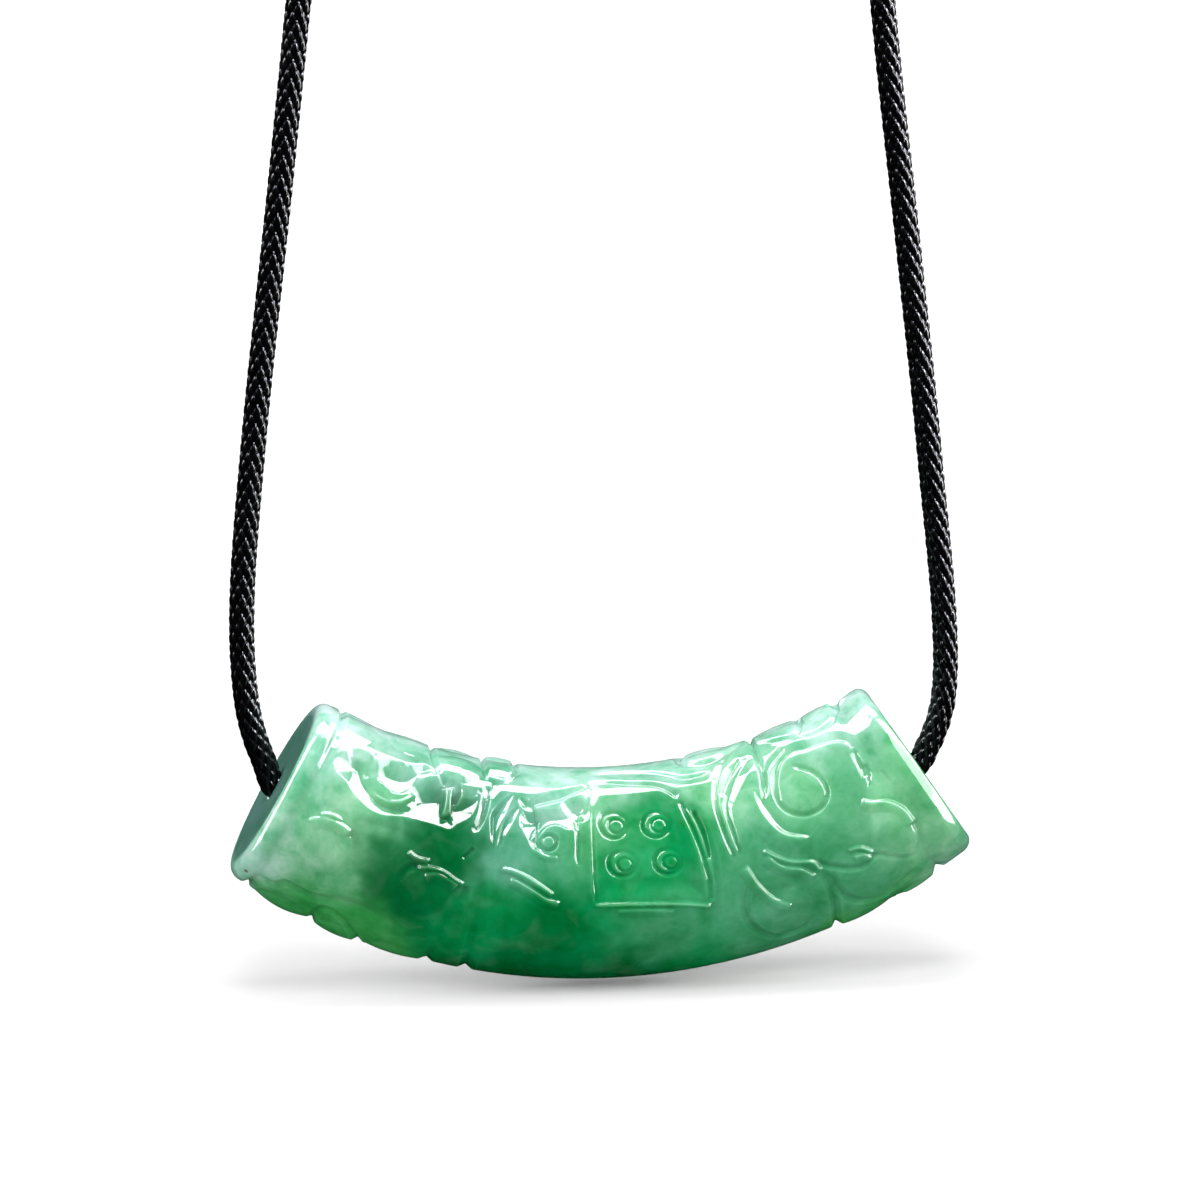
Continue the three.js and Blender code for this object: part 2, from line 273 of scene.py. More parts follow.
class Carver:
    def __init__(self, points, facing, s, t, rho):
        self.s, self.t, self.rho = s, t, rho        # along the stone, round it, and its radius
        self.p = points.copy()
        self.p[:, 1] = -np.abs(self.p[:, 1])       # the back carries the front's design, mirrored
        self.uv = to_picture(self.p)
        self.h = np.zeros(len(points))
        self.seen = smooth(facing / 0.06)           # drawn shapes stay on the side that faces the drawing

    # -- measuring
    def line(self, places, per=8, wrap_start=False, wrap_end=False):
        uv = catmull(places, per) if len(places) > 2 else np.linspace(places[0], places[1], 2 * per)
        s, t = find_on_body(uv)

        def round_to_edge(s0, t0):
            goal = math.pi if t0 > math.pi / 2 else 0.0
            tt = np.linspace(t0, goal, 6)[1:]
            return np.full(5, s0), tt
        if wrap_end:
            es, et = round_to_edge(s[-1], t[-1])
            s, t = np.concatenate([s, es]), np.concatenate([t, et])
        if wrap_start:
            es, et = round_to_edge(s[0], t[0])
            s, t = np.concatenate([es[::-1], s]), np.concatenate([et[::-1], t])
        c3 = body_point(s, t, half_height(s))
        if wrap_start or wrap_end:
            uv = to_picture(c3)
        c3[:, 1] = -np.abs(c3[:, 1])
        return uv, c3

    def near(self, curve3, reach):
        lo, hi = curve3.min(0) - reach, curve3.max(0) + reach
        return np.where(((self.p > lo) & (self.p < hi)).all(1))[0]

    def measure(self, ids, uv, curve3):
        """For each point: its distance from the curve in mm, where along it (0 to 1), and the side it is on (+1 to the right as seen going along)."""
        pts, q = self.p[ids], self.uv[ids]
        a, b = curve3[:-1], curve3[1:]
        ab = b - a
        l2 = np.maximum((ab ** 2).sum(1), 1e-12)
        best = np.full(len(ids), 1e9)
        along = np.zeros(len(ids))
        side = np.ones(len(ids))
        cum = np.concatenate([[0.0], np.cumsum(np.sqrt(l2))])
        for i in range(len(a)):
            f = np.clip(((pts - a[i]) @ ab[i]) / l2[i], 0.0, 1.0)
            d = np.linalg.norm(pts - (a[i] + f[:, None] * ab[i]), axis=1)
            du, dv = uv[i + 1] - uv[i]
            turn = du * (q[:, 1] - uv[i, 1]) - dv * (q[:, 0] - uv[i, 0])
            better = d < best - 1e-9
            best = np.where(better, d, best)
            along = np.where(better, (cum[i] + f * np.sqrt(l2[i])) / cum[-1], along)
            side = np.where(better, np.where(turn >= 0, 1.0, -1.0), side)
        return best, along, side

    def inside(self, ids, polygon):
        x, y = self.uv[ids, 0], self.uv[ids, 1]
        odd = np.zeros(len(ids), bool)
        n = len(polygon)
        for i in range(n):
            x0, y0 = polygon[i]
            x1, y1 = polygon[(i + 1) % n]
            hit = (y0 > y) != (y1 > y)
            with np.errstate(divide="ignore", invalid="ignore"):
                odd ^= hit & (x < (x1 - x0) * (y - y0) / (y1 - y0 + 1e-12) + x0)
        return odd

    @staticmethod
    def along_values(value, u):
        v = np.atleast_1d(np.asarray(value, float))
        return np.interp(u, np.linspace(0.0, 1.0, len(v)), v) if len(v) > 1 else np.full(len(u), v[0])

    # -- tools
    def groove(self, places, depth, right=0.35, left=0.35, fade=0.12, power=1.0, fade_start=None, fade_end=None, wrap_start=False, wrap_end=False):
        """A cut along a curve. right and left are its widths on the two sides, seen going along; each of depth, right and left may be a list along the curve."""
        uv, c3 = self.line(places, wrap_start=wrap_start, wrap_end=wrap_end)
        ids = self.near(c3, max(float(np.max(right)), float(np.max(left))) + 0.2)
        if not len(ids):
            return
        d, u, side = self.measure(ids, uv, c3)
        w = np.where(side > 0, self.along_values(right, u), self.along_values(left, u))
        x = np.clip(d / np.maximum(w, 1e-3), 0.0, 1.0)
        f0 = fade if fade_start is None else fade_start
        f1 = fade if fade_end is None else fade_end
        f0, f1 = (0.0 if wrap_start else f0), (0.0 if wrap_end else f1)
        ends = (smooth(u / f0) if f0 > 0 else 1.0) * (smooth((1.0 - u) / f1) if f1 > 0 else 1.0)
        self.h[ids] -= self.along_values(depth, u) * ends * (1.0 - x) ** power

    def ridge(self, places, height, width=0.5, fade=0.15):
        """A rounded raised band along a curve."""
        uv, c3 = self.line(places)
        ids = self.near(c3, float(np.max(width)) + 0.2)
        if not len(ids):
            return
        d, u, side = self.measure(ids, uv, c3)
        x = np.clip(d / self.along_values(width, u), 0.0, 1.0)
        ends = smooth(u / fade) * smooth((1.0 - u) / fade) if fade > 0 else 1.0
        self.h[ids] += self.along_values(height, u) * ends * (1.0 - x * x)

    def ramp(self, deep, level, angle, wall=0.3, wall_power=1.0, most=1.1, across=0.0, spread=0.0):
        """A face that falls from the level curve to the deep one, with a wall behind the deep curve. It starts at the given angle, which may be a list along the level curve; across is the radius of the body that it is cut flat through, 0 for a steady angle. The wall is at least spread times as wide as it is high."""
        uv0, c0 = self.line(deep)
        uv1, c1 = self.line(level)
        ids = self.near(np.concatenate([c0, c1]), max(float(np.max(wall)), spread * most) + 0.2)
        if not len(ids):
            return
        d0, u0, _ = self.measure(ids, uv0, c0)
        d1, u1, _ = self.measure(ids, uv1, c1)
        within = self.inside(ids, np.concatenate([uv0, uv1[::-1]])) & (self.seen[ids] > 0.02)

        def fall(d, u):
            a = self.along_values(angle, u) * DEG
            if across <= 0.0:
                return np.minimum(np.tan(a) * d, most)
            return np.minimum(across * (1.0 - np.cos(a) / np.cos(a - np.minimum(d / across, a))), most)

        def along(curve):
            cum = np.concatenate([[0.0], np.cumsum(np.linalg.norm(np.diff(curve, axis=0), axis=1))])
            return cum / cum[-1]
        # how deep the face is where it meets the wall, for each point beyond it
        far = np.linalg.norm(c0[:, None] - c1[None], axis=2)
        foot = np.interp(u0, along(c0), fall(far.min(1), along(c1)[far.argmin(1)]))
        width = np.maximum(self.along_values(wall, u0), spread * foot)
        back = foot * np.clip(1.0 - d0 / width, 0.0, 1.0) ** wall_power
        self.h[ids] -= np.where(within, fall(d1, u1), np.where(d0 < d1, back, 0.0)) * self.seen[ids]

    def facet(self, upper, lower, e=FACET_TILT, wall=0.3, wall_power=1.0, sink=0.0, most=1.3):
        """A plane cut whose face looks up at e degrees: it starts at the lower curve, and a wall rises behind the upper one. Both run from left to right; wall may be a list along the upper curve."""
        uv0, c0 = self.line(upper)
        uv1, c1 = self.line(lower)
        ids = self.near(np.concatenate([c0, c1]), float(np.max(wall)) + 0.2)
        if not len(ids):
            return
        s1, t1 = find_on_body(uv1)
        order = np.argsort(s1)
        tn = (90.0 - e) * DEG

        def drop(s, t, rho):
            low = np.interp(s, s1[order], t1[order])
            return np.clip(sink + rho * (1.0 - np.cos(low - tn) / np.cos(t - tn)), 0.0, most)
        d0, u0, _ = self.measure(ids, uv0, c0)
        within = self.inside(ids, np.concatenate([uv0, uv1[::-1]])) & (self.seen[ids] > 0.02)
        cum = np.concatenate([[0.0], np.cumsum(np.linalg.norm(np.diff(c0, axis=0), axis=1))])
        s0, t0 = find_on_body(uv0)
        foot = np.interp(u0, cum / cum[-1], drop(s0, t0, half_height(s0)))
        back = foot * np.clip(1.0 - d0 / self.along_values(wall, u0), 0.0, 1.0) ** wall_power
        self.h[ids] -= np.where(within, drop(self.s[ids], self.t[ids], self.rho[ids]), back) * self.seen[ids]

    def lit(self, places, width, above=0.4, e=FACET_TILT, fade=0.08, most=0.8):
        """A cut along a curve that runs from left to right, whose lower wall looks up at e degrees."""
        uv = catmull(places, 8) if len(places) > 2 else np.linspace(places[0], places[1], 16)
        _, t = find_on_body(uv)
        slope = np.tan(np.clip(e - (90.0 - t / DEG), 8.0, 68.0) * DEG)
        w = self.along_values(width, np.linspace(0.0, 1.0, len(uv)))
        self.groove(places, np.minimum(w * slope, most).tolist(), right=w.tolist(), left=above, fade=fade)

    def lip(self, places, width=0.2, below=0.7, e=FACET_TILT + 6.0, fade=0.08, most=0.34):
        """A raised edge along a curve that runs from left to right: its upper side looks up at e degrees, and its lower side runs out slowly."""
        uv = catmull(places, 8) if len(places) > 2 else np.linspace(places[0], places[1], 16)
        _, t = find_on_body(uv)
        slope = np.tan(np.clip(e - (90.0 - t / DEG), 8.0, 66.0) * DEG)
        w = np.minimum(self.along_values(width, np.linspace(0.0, 1.0, len(uv))), most / slope)
        self.groove(places, (-w * slope).tolist(), right=below, left=w.tolist(), fade=fade)

    def restore(self, places, level, edge):
        """Brings a region back to a level, with an edge of the given width inside its outline."""
        uv = catmull(list(places) + [places[0]], 6)
        c3 = to_surface(uv)
        ids = self.near(c3, 0.2)
        d, _, _ = self.measure(ids, uv, c3)
        amount = np.where(self.inside(ids, uv), np.clip(d / edge, 0.0, 1.0), 0.0) * self.seen[ids]
        self.h[ids] += (np.maximum(level, self.h[ids]) - self.h[ids]) * amount

    def dome(self, centre, rx, ry, height, turn=0.0, power=1.0):
        """A rounded boss. rx and ry are its half sizes on the picture, in pixels of its 1200 frame."""
        q = self.uv - np.asarray(centre)
        c, s = math.cos(turn * DEG), math.sin(turn * DEG)
        a, b = (q[:, 0] * c + q[:, 1] * s) / rx, (-q[:, 0] * s + q[:, 1] * c) / ry
        r2 = a * a + b * b
        ids = np.where(r2 < 1.0)[0]
        self.h[ids] += height * (1.0 - r2[ids]) ** power * self.seen[ids]

    def boss(self, centre, radius, height, power=1.0):
        """A round boss, also over an edge of the picture; radius in mm."""
        c3 = to_surface([centre])[0]
        c3[1] = -abs(c3[1])
        x = np.linalg.norm(self.p - c3, axis=1) / radius
        ids = np.where(x < 1.0)[0]
        self.h[ids] += height * (1.0 - x[ids] ** 2) ** power

    def ring(self, centre, radius, depth, width, lean=0.0):
        """A circular cut; sizes in mm. With lean it is deeper at its lower left than at its upper right."""
        c3 = to_surface([centre])[0]
        x = np.abs(np.linalg.norm(self.p - c3, axis=1) - radius) / width
        ids = np.where(x < 1.0)[0]
        q = self.uv[ids] - np.asarray(centre)
        way = (-q[:, 0] + q[:, 1]) / (np.linalg.norm(q, axis=1) * math.sqrt(2.0) + 1e-6)
        self.h[ids] -= depth * (1.0 - lean * (0.5 - 0.5 * way)) * (1.0 - x[ids])

    def button(self, centre, radius, height, edge):
        """A flat-topped round boss with a rounded edge; sizes in mm."""
        c3 = to_surface([centre])[0]
        d = np.linalg.norm(self.p - c3, axis=1)
        self.h += height * smooth((radius - d) / edge)

    def plateau(self, places, height, edge):
        uv = catmull(list(places) + [places[0]], 6)
        c3 = to_surface(uv)
        ids = self.near(c3, edge + 0.2)
        d, _, _ = self.measure(ids, uv, c3)
        signed = np.where(self.inside(ids, uv), d, -d)
        self.h[ids] += height * smooth(0.5 + signed / edge) * self.seen[ids]

    def crest(self, t_mid, lean, reach):
        """A soft crest along the stone, lower towards its ends; angles in degrees."""
        middle = t_mid + 0.01 * (self.s / ARC_RADIUS / DEG) ** 2
        x = np.sqrt(((self.t / DEG - middle) / reach) ** 2 + 0.0064)
        self.h += self.rho * math.tan(lean * DEG) * reach * DEG * 0.5 * np.clip(1.0 - x, 0.0, 1.0) ** 2

    def fall_off_right(self, reach, drop):
        """Rounds the right end over a wider strip than its rim."""
        s = (np.arctan2(self.p[:, 0], ARC_Z - self.p[:, 2])) * ARC_RADIUS
        self.h -= drop * np.clip(1.0 - (HALF_LENGTH - s) / reach, 0.0, 1.0) ** 2

    def flatten(self, places, t, t_mid, t_half, share, edge, rho):
        """Takes the bulge out of a region: the surface moves towards the flat face that joins its upper and lower edges."""
        uv = catmull(list(places) + [places[0]], 6)
        c3 = to_surface(uv)
        ids = self.near(c3, edge + 0.2)
        d, _, _ = self.measure(ids, uv, c3)
        signed = np.where(self.inside(ids, uv), d, -d)
        amount = share * smooth(signed / edge) * self.seen[ids]
        tau = np.clip(t[ids] - t_mid, -t_half, t_half)
        self.h[ids] += amount * rho[ids] * (math.cos(t_half) / np.cos(tau) - 1.0)


def carve(c, t_front, rho):
    """The design, from the left end to the right one. On a curve drawn from left to right, right is below it; on one drawn downwards, right is its left-hand side."""
    L, M, R, T = SHEET_L, SHEET_M, SHEET_R, SHEET_T

    c.crest(33.5, 5.0, 20.0)

    # ---- left collar: a groove round the stone, sharp on top and soft below
    c.groove(L((712, 150), (690, 225), (650, 320), (600, 430), (545, 540), (480, 660), (400, 800), (330, 930), (262, 1050), (205, 1125), (152, 1160)),
             [0.5, 0.4, 0.3, 0.26, 0.2, 0.18, 0.18, 0.2, 0.26, 0.4, 0.6],
             right=[0.3, 0.3, 0.34, 0.4, 0.7, 1.1, 1.4, 1.4, 1.0, 0.6, 0.4], left=[0.4, 0.45, 0.5, 0.6, 1.0, 1.4, 1.6, 1.5, 1.2, 0.7, 0.45], wrap_start=True, wrap_end=True)

    # ---- top band of the left part, over the scroll
    c.boss(L((770, 215))[0], 2.2, 0.16)
    c.boss(L((1120, 330))[0], 2.0, 0.14)

    # ---- hook scroll: the bright cut below it, its pocket, and the line along its band
    c.ramp([(337.7, 771.9), (349, 767), (359.9, 764.6), (363, 777), (366.3, 785), (374.3, 797), (383.7, 805.3), (391.7, 808.6), (407.7, 810.6), (418.3, 805), (426.3, 799), (434.3, 796.3), (443, 795.7), (450, 799), (455, 807), (462.3, 806.3), (477, 799.7), (480, 793)],
            [(337.7, 772.3), (346.3, 781), (351.7, 790.3), (362.3, 802.3), (371.7, 810.3), (385, 815.9), (402.3, 816.8), (421, 820.8), (435.7, 824.8), (451, 829.3), (458.3, 823.9), (471, 816.5), (477, 806), (480, 794)], 35.0, across=8.2, spread=1.6,
            wall=[1.2, 1.4, 1.2, 0.4, 0.3, 0.3, 0.3, 0.3, 0.3, 0.3, 0.3, 0.3, 0.3, 0.3, 0.3, 0.3], most=1.25)
    c.restore([(443, 786), (455, 786), (454.8, 799.7), (452.6, 814), (445, 817.6), (440.6, 814.6), (442.6, 799.7)], 0.04, 0.3)
    c.facet([(455.5, 796), (463, 791)], [(456, 804), (459, 799), (463.5, 791.5)], wall=0.3)
    c.facet([(381, 776.5), (387.7, 774.6), (399.7, 776.6), (410.3, 776.6), (417, 773.7), (424, 769.3)], [(381, 778), (387.7, 785.8), (397, 791.8), (405, 790.6), (411.7, 785.6), (417, 778), (424, 770)], wall=[1.3, 1.6, 1.6, 1.5, 1.2, 0.6], sink=0.3)
    c.lip([(371.7, 789), (378.3, 795.7), (390.3, 801.8), (399.7, 802), (408, 798.5), (416, 791.5)], 0.2, 0.3, e=FACET_TILT + 18.0, fade=0.15)
    c.groove([(376, 753), (369, 767.5), (367.7, 777)], 0.12, right=0.2, left=0.24, fade=0.15)
    c.lit([(420, 771), (425, 769.7), (431.7, 771), (435.5, 775)], 0.22, above=0.3)

    # ---- bulb and tongue
    c.boss(L((1405, 470))[0], 1.9, 0.36)
    c.groove(L((1252, 392), (1268, 440), (1300, 510), (1350, 574)), [0.5, 0.42, 0.36, 0.28], right=0.28, left=0.34, wrap_start=True, fade_end=0.1)
    c.lit([(443, 779), (448, 783), (456, 783), (464, 781.5)], 0.26, above=0.4)

    # ---- curved rib at the right of the scroll
    c.groove([(490, 787), (487.7, 797.7), (485, 810.3), (479.7, 823.7), (473.7, 833.7)], [0.2, 0.34, 0.36, 0.34, 0.2], right=0.5, left=0.3, fade=0.1)

    # ---- left bosses
    c.dome(L((590, 915))[0], 35, 34, 0.3)
    c.lip([(318, 814.5), (327, 813.5), (336, 816.5), (343, 821)], 0.18, 0.3, fade=0.2)
    c.lip([(306, 820), (318, 818), (328, 819.5), (338, 823.5), (347, 829), (352, 836)], 0.2, 0.8, fade=0.15)
    c.groove(L((748, 840), (785, 930), (770, 1030)), [0.2, 0.14, 0.06], right=0.3, left=0.5, fade=0.2)
    c.groove(L((648, 838), (668, 920), (715, 985)), 0.05, right=0.22, left=0.22)
    c.dome(L((1195, 1205))[0], 27, 26, 0.3)
    c.groove(L((1040, 1160), (1095, 1085), (1180, 1056)), [0.1, 0.2, 0.28], right=0.26, left=0.5, fade_start=0.2, fade_end=0.2)
    c.lip([(418, 866), (432, 867), (446, 872.5), (455, 879), (465, 884)], 0.22, 0.34)
    c.lip([(424, 873.5), (436, 873), (450, 880), (459, 886.5)], 0.18, 0.8)
    c.lip([(408.5, 851), (416, 857), (430, 860.5)], 0.22, 0.4)
    c.groove(L((1450, 1178), (1448, 1230), (1430, 1290)), [0.3, 0.2, 0.1], right=0.5, left=0.4, fade_start=0.1, fade_end=0.3)
    c.groove(L((1436, 1020), (1502, 952)), 0.2, right=0.2, left=0.22)
    c.groove(L((740, 770), (900, 805), (1050, 856), (1215, 950)), 0.1, right=0.8, left=0.5, fade=0.2)

    # ---- bottom left: the lower edge of the boss and the leaf petals
    c.groove(L((220, 1145), (300, 1172), (360, 1160), (430, 1192), (520, 1240), (640, 1262), (800, 1300), (950, 1370), (1080, 1450)), [0.3, 0.24, 0.24, 0.28, 0.28, 0.24, 0.2, 0.16, 0.1], right=[0.6, 0.6, 0.6, 0.7, 0.7, 0.8, 0.9, 0.9, 0.9], left=[0.4, 0.4, 0.4, 0.5, 0.6, 0.7, 0.8, 0.8, 0.8], fade=0.04)
    c.boss(L((330, 1300))[0], 2.2, 0.3)
    c.boss(L((680, 1450))[0], 2.4, 0.34)
    c.boss(L((1000, 1570))[0], 2.6, 0.2)
    c.groove(L((515, 1395), (525, 1365), (580, 1318), (640, 1330), (715, 1395), (800, 1500)), [0.5, 0.3, 0.2, 0.2, 0.28, 0.55], right=0.45, left=0.45, wrap_start=True, wrap_end=True)

    # ---- the long rib that parts the scroll from the middle
    c.groove([(490, 792), (486, 830), (482, 880), (475, 930), (464, 970)], [0.02, 0.08, 0.16, 0.24, 0.45], right=0.6, left=0.9, fade_start=0.06, wrap_end=True)
    c.groove([(446, 905), (441, 935), (426, 962)], [0.08, 0.15, 0.4], right=0.6, left=0.6, fade_start=0.2, wrap_end=True)

    # ---- small bump on the top edge and the recess under it
    c.boss(M((185, 235))[0], 1.6, 0.28)
    c.groove(M((84, 215), (95, 275), (150, 312), (222, 312), (285, 262)), [0.5, 0.4, 0.34, 0.34, 0.55], right=0.26, left=0.34, wrap_start=True, wrap_end=True)
    c.facet([(492.5, 780.5), (505, 783)], [(492.5, 801), (497, 796), (505.5, 783.5)], wall=0.3)

    # ---- cheek: its rounded left edge
    c.ramp(M((246, 408), (156, 500), (146, 600), (146, 694)), M((256, 414), (232, 470), (194, 590), (156, 696)), 36.0, wall=0.34)
    c.ramp(M((284, 474), (226, 542), (184, 650), (172, 712)), M((300, 476), (264, 556), (222, 640), (182, 716)), 36.0, wall=0.28)

    # ---- brow and eye
    c.groove(M((300, 410), (345, 458), (420, 434), (560, 398), (650, 364), (700, 342)), [0.16, 0.26, 0.34, 0.34, 0.28, 0.14], right=[0.3, 0.4, 0.5, 0.5, 0.4, 0.3], left=[0.3, 0.6, 0.8, 0.8, 0.6, 0.3], fade=0.05)
    c.ramp([(522.2, 827.8), (528, 820.8), (543, 818), (559.7, 816.7), (568, 814.2), (574.7, 808.3), (578, 812)], [(522.2, 828.3), (527.2, 839.2), (532.2, 848.3), (540, 852), (546, 843), (551, 834), (560, 830), (568, 830), (578, 831)], [38.0, 38.0, 38.0, 36.0, 31.0, 28.0, 27.0, 27.0, 27.0], across=8.2, spread=1.6, wall=[0.4, 0.6, 0.8, 0.8, 0.7, 0.4], most=1.0)
    c.restore([(554.7 + 17.6 * math.cos(a * DEG), 839.4 + 17.6 * math.sin(a * DEG)) for a in range(0, 360, 30)], 0.0, 0.3)
    c.dome((556, 840), 17.0, 17.0, 0.16)
    c.lip([(534, 848), (540, 853.5), (548, 857), (558, 857)], 0.16, 0.4)
    c.groove([(575.5, 815), (577.5, 830), (578, 846), (577.5, 858), (580, 867)], [0.1, 0.2, 0.24, 0.24, 0.12], right=0.26, left=0.3, fade=0.08)
    c.ring((548.5, 842.5), 0.62, 0.28, 0.24)

    # ---- double line under the eye
    c.lip([(500.5, 868.6), (509.7, 870), (523, 875), (538, 884), (554.7, 895)], 0.22, 0.34)
    c.lip([(509.7, 877.5), (521.3, 883.3), (538, 893.3), (549.7, 900), (561.3, 902.5)], 0.2, 0.7)

    # ---- upright strip between cheek and panel
    c.groove(M((655, 372), (660, 480), (686, 590), (697, 750), (705, 950), (724, 1110)), [0.06, 0.08, 0.1, 0.12, 0.12, 0.1], right=0.5, left=0.4, fade=0.1)
    c.groove(M((712, 360), (708, 470), (702, 590)), 0.06, right=0.3, left=0.3, fade=0.15)

    # ---- panel: flattened, outlined, with four ringed bosses
    panel = M((738, 362), (830, 346), (960, 348), (1110, 352), (1200, 384), (1262, 424), (1318, 500), (1386, 625), (1432, 760), (1456, 900), (1456, 1046), (1200, 1050), (960, 1052), (742, 1052), (733, 800), (736, 560))
    c.flatten(panel, t_front, 72.0 * DEG, 36.0 * DEG, 0.45, 1.9, rho)
    c.groove(M((700, 335), (830, 322), (960, 330), (1110, 338), (1200, 372), (1258, 412)), [0.1, 0.16, 0.2, 0.2, 0.18, 0.14], right=0.3, left=0.5, fade=0.06)
    c.groove([(679, 799), (685.5, 810.8), (696.3, 833.3), (704.7, 858.3), (710, 880), (712, 903)], [0.2, 0.42, 0.46, 0.44, 0.34, 0.2], right=0.36, left=0.28, fade=0.05)
    c.groove([(692.5, 808), (703.5, 833.3), (710.5, 861)], 0.4, right=0.32, left=0.26, fade=0.1)
    c.groove([(592.3, 806), (593.3, 840), (595, 880), (598, 910)], [0.1, 0.14, 0.16, 0.14], right=0.24, left=0.2, fade=0.08)
    c.lip([(594.5, 904.5), (604, 904), (638, 903.2), (680, 902.8), (711.5, 904.5)], [0.26, 0.26, 0.22, 0.18, 0.2], 0.34, fade=0.02)
    c.lip([(614, 909.5), (650, 909), (678, 909.8)], 0.12, 0.7, fade=0.12)
    c.facet([(591.5, 788.5), (608, 789.5)], [(591.5, 808), (595.5, 805), (599, 797), (608.5, 790)], wall=0.25)
    for centre in ((868, 555), (1124, 548), (924, 800), (1198, 787)):
        c.ring(M(centre)[0], 1.06, 0.3, 0.26, lean=0.8)
        c.button(M(centre)[0], 1.0, 0.08, 0.4)
        c.ring(M((centre[0] + 14, centre[1] + 8))[0], 0.57, 0.2, 0.2, lean=0.4)
    c.groove(M((1262, 380), (1400, 560), (1476, 800), (1492, 1000), (1490, 1120), (1440, 1230)), [0.1, 0.14, 0.2, 0.2, 0.16, 0.1], right=0.5, left=0.4, fade=0.12)

    # ---- knuckle and ribs to the right of the panel
    c.groove([(677.6, 758.6), (684, 763), (700, 764.2), (715, 760), (730, 750), (745, 742)], [0.5, 0.3, 0.28, 0.26, 0.2, 0.1], right=[0.5, 0.6, 0.8, 0.8, 0.6, 0.4], left=[0.4, 0.5, 0.55, 0.55, 0.5, 0.4], wrap_start=True, fade_end=0.1)
    c.groove([(590, 776), (604.7, 773.5), (638, 772), (664.7, 774), (681, 778), (692, 777), (712, 773)], [0.08, 0.14, 0.16, 0.16, 0.2, 0.2, 0.12], right=0.9, left=0.32, fade=0.08)
    c.boss(T((440, 500))[0], 1.7, 0.2)
    c.groove([(723.5, 757), (718.5, 775), (716, 790), (717, 806), (724, 828), (731, 848), (737, 862)], [0.1, 0.26, 0.3, 0.3, 0.32, 0.3, 0.16], right=[0.4, 0.4, 0.4, 0.36, 0.38, 0.36, 0.34], left=0.28, fade=0.06)
    c.groove([(741, 757), (730.5, 772), (724, 788), (722, 798)], [0.1, 0.3, 0.34, 0.2], right=0.45, left=0.45, fade=0.12)
    c.groove([(749, 754), (742, 766), (734, 780), (729.5, 792), (726.5, 806), (734, 832), (742, 859)], [0.1, 0.22, 0.28, 0.3, 0.3, 0.3, 0.18], right=[0.4, 0.4, 0.4, 0.36, 0.36, 0.36, 0.34], left=[0.9, 0.9, 0.8, 0.6, 0.34, 0.28, 0.28], fade=0.08)

    # ---- the groove that comes down from the top notch, left of the spiral
    c.groove(R((204, 345), (215, 380), (244, 450), (278, 560), (286, 630), (276, 728)), [0.6, 0.5, 0.44, 0.4, 0.34, 0.2], right=0.34, left=0.4, wrap_start=True, fade_end=0.15)

    # ---- spiral
    spiral = R((432, 492), (530, 510), (612, 560), (653, 640), (636, 716), (580, 766), (505, 783), (425, 761), (370, 702), (348, 620), (352, 530), (384, 460), (440, 412), (520, 388), (620, 360), (700, 344), (768, 356), (812, 412))
    c.groove(spiral, [0.14, 0.22, 0.26, 0.26, 0.26, 0.26, 0.26, 0.26, 0.28, 0.32, 0.34, 0.36, 0.34, 0.32, 0.3, 0.26, 0.2, 0.12], right=0.34, left=[0.26, 0.26, 0.26, 0.26, 0.26, 0.26, 0.26, 0.26, 0.3, 0.4, 0.5, 0.7, 0.9, 1.0, 1.0, 0.9, 0.7, 0.5], fade=0.03)
    c.dome(R((508, 640))[0], 23, 22, 0.2)
    c.dome((797, 797), 47, 43, -0.12)
    c.lip([(751.5, 784), (753.5, 796.3), (760, 810.8), (769.7, 824), (782.6, 834), (793.9, 837), (813, 837)], [0.2, 0.36, 0.52, 0.54, 0.46, 0.3, 0.14], 1.3, e=FACET_TILT + 3.0, fade=0.1, most=0.42)
    c.groove(R((400, 380), (330, 470), (292, 560), (280, 640)), 0.22, right=0.4, left=0.28, fade=0.12)
    c.groove([(853, 748), (856, 756), (861.6, 767), (865, 779)], [0.2, 0.36, 0.36, 0.16], right=0.4, left=0.32, fade=0.12)
    c.groove([(864.5, 762), (868.5, 774), (869.5, 789)], [0.2, 0.32, 0.16], right=0.3, left=0.3, fade=0.15)

    # ---- top edge right of the notch
    c.groove(R((215, 366), (340, 358), (470, 318), (492, 264), (472, 212)), [0.2, 0.26, 0.28, 0.3, 0.5], right=0.26, left=0.34, fade_start=0.1, wrap_end=True)
    c.groove(R((486, 320), (530, 324), (610, 294), (684, 228), (694, 140)), [0.2, 0.24, 0.26, 0.28, 0.5], right=0.3, left=0.4, fade_start=0.1, wrap_end=True)
    c.boss(R((350, 270))[0], 1.9, 0.2)
    c.boss(R((590, 190))[0], 1.8, 0.2)

    # ---- right collar: a soft valley and a bead along the end
    c.groove(R((690, 128), (770, 235), (850, 360), (930, 510), (1020, 640), (1130, 760), (1206, 880), (1222, 1000), (1308, 1100)),
             [0.4, 0.3, 0.26, 0.24, 0.24, 0.26, 0.3, 0.4, 0.6], right=[0.45, 0.7, 0.9, 1.1, 1.2, 1.2, 1.0, 0.7, 0.45], left=[1.0, 1.6, 1.8, 1.8, 1.7, 1.6, 1.4, 1.0, 0.6], wrap_start=True, wrap_end=True)
    c.groove(R((958, 515), (1024, 604)), 0.1, right=0.24, left=0.24, fade=0.2)
    c.fall_off_right(1.4, 0.5)

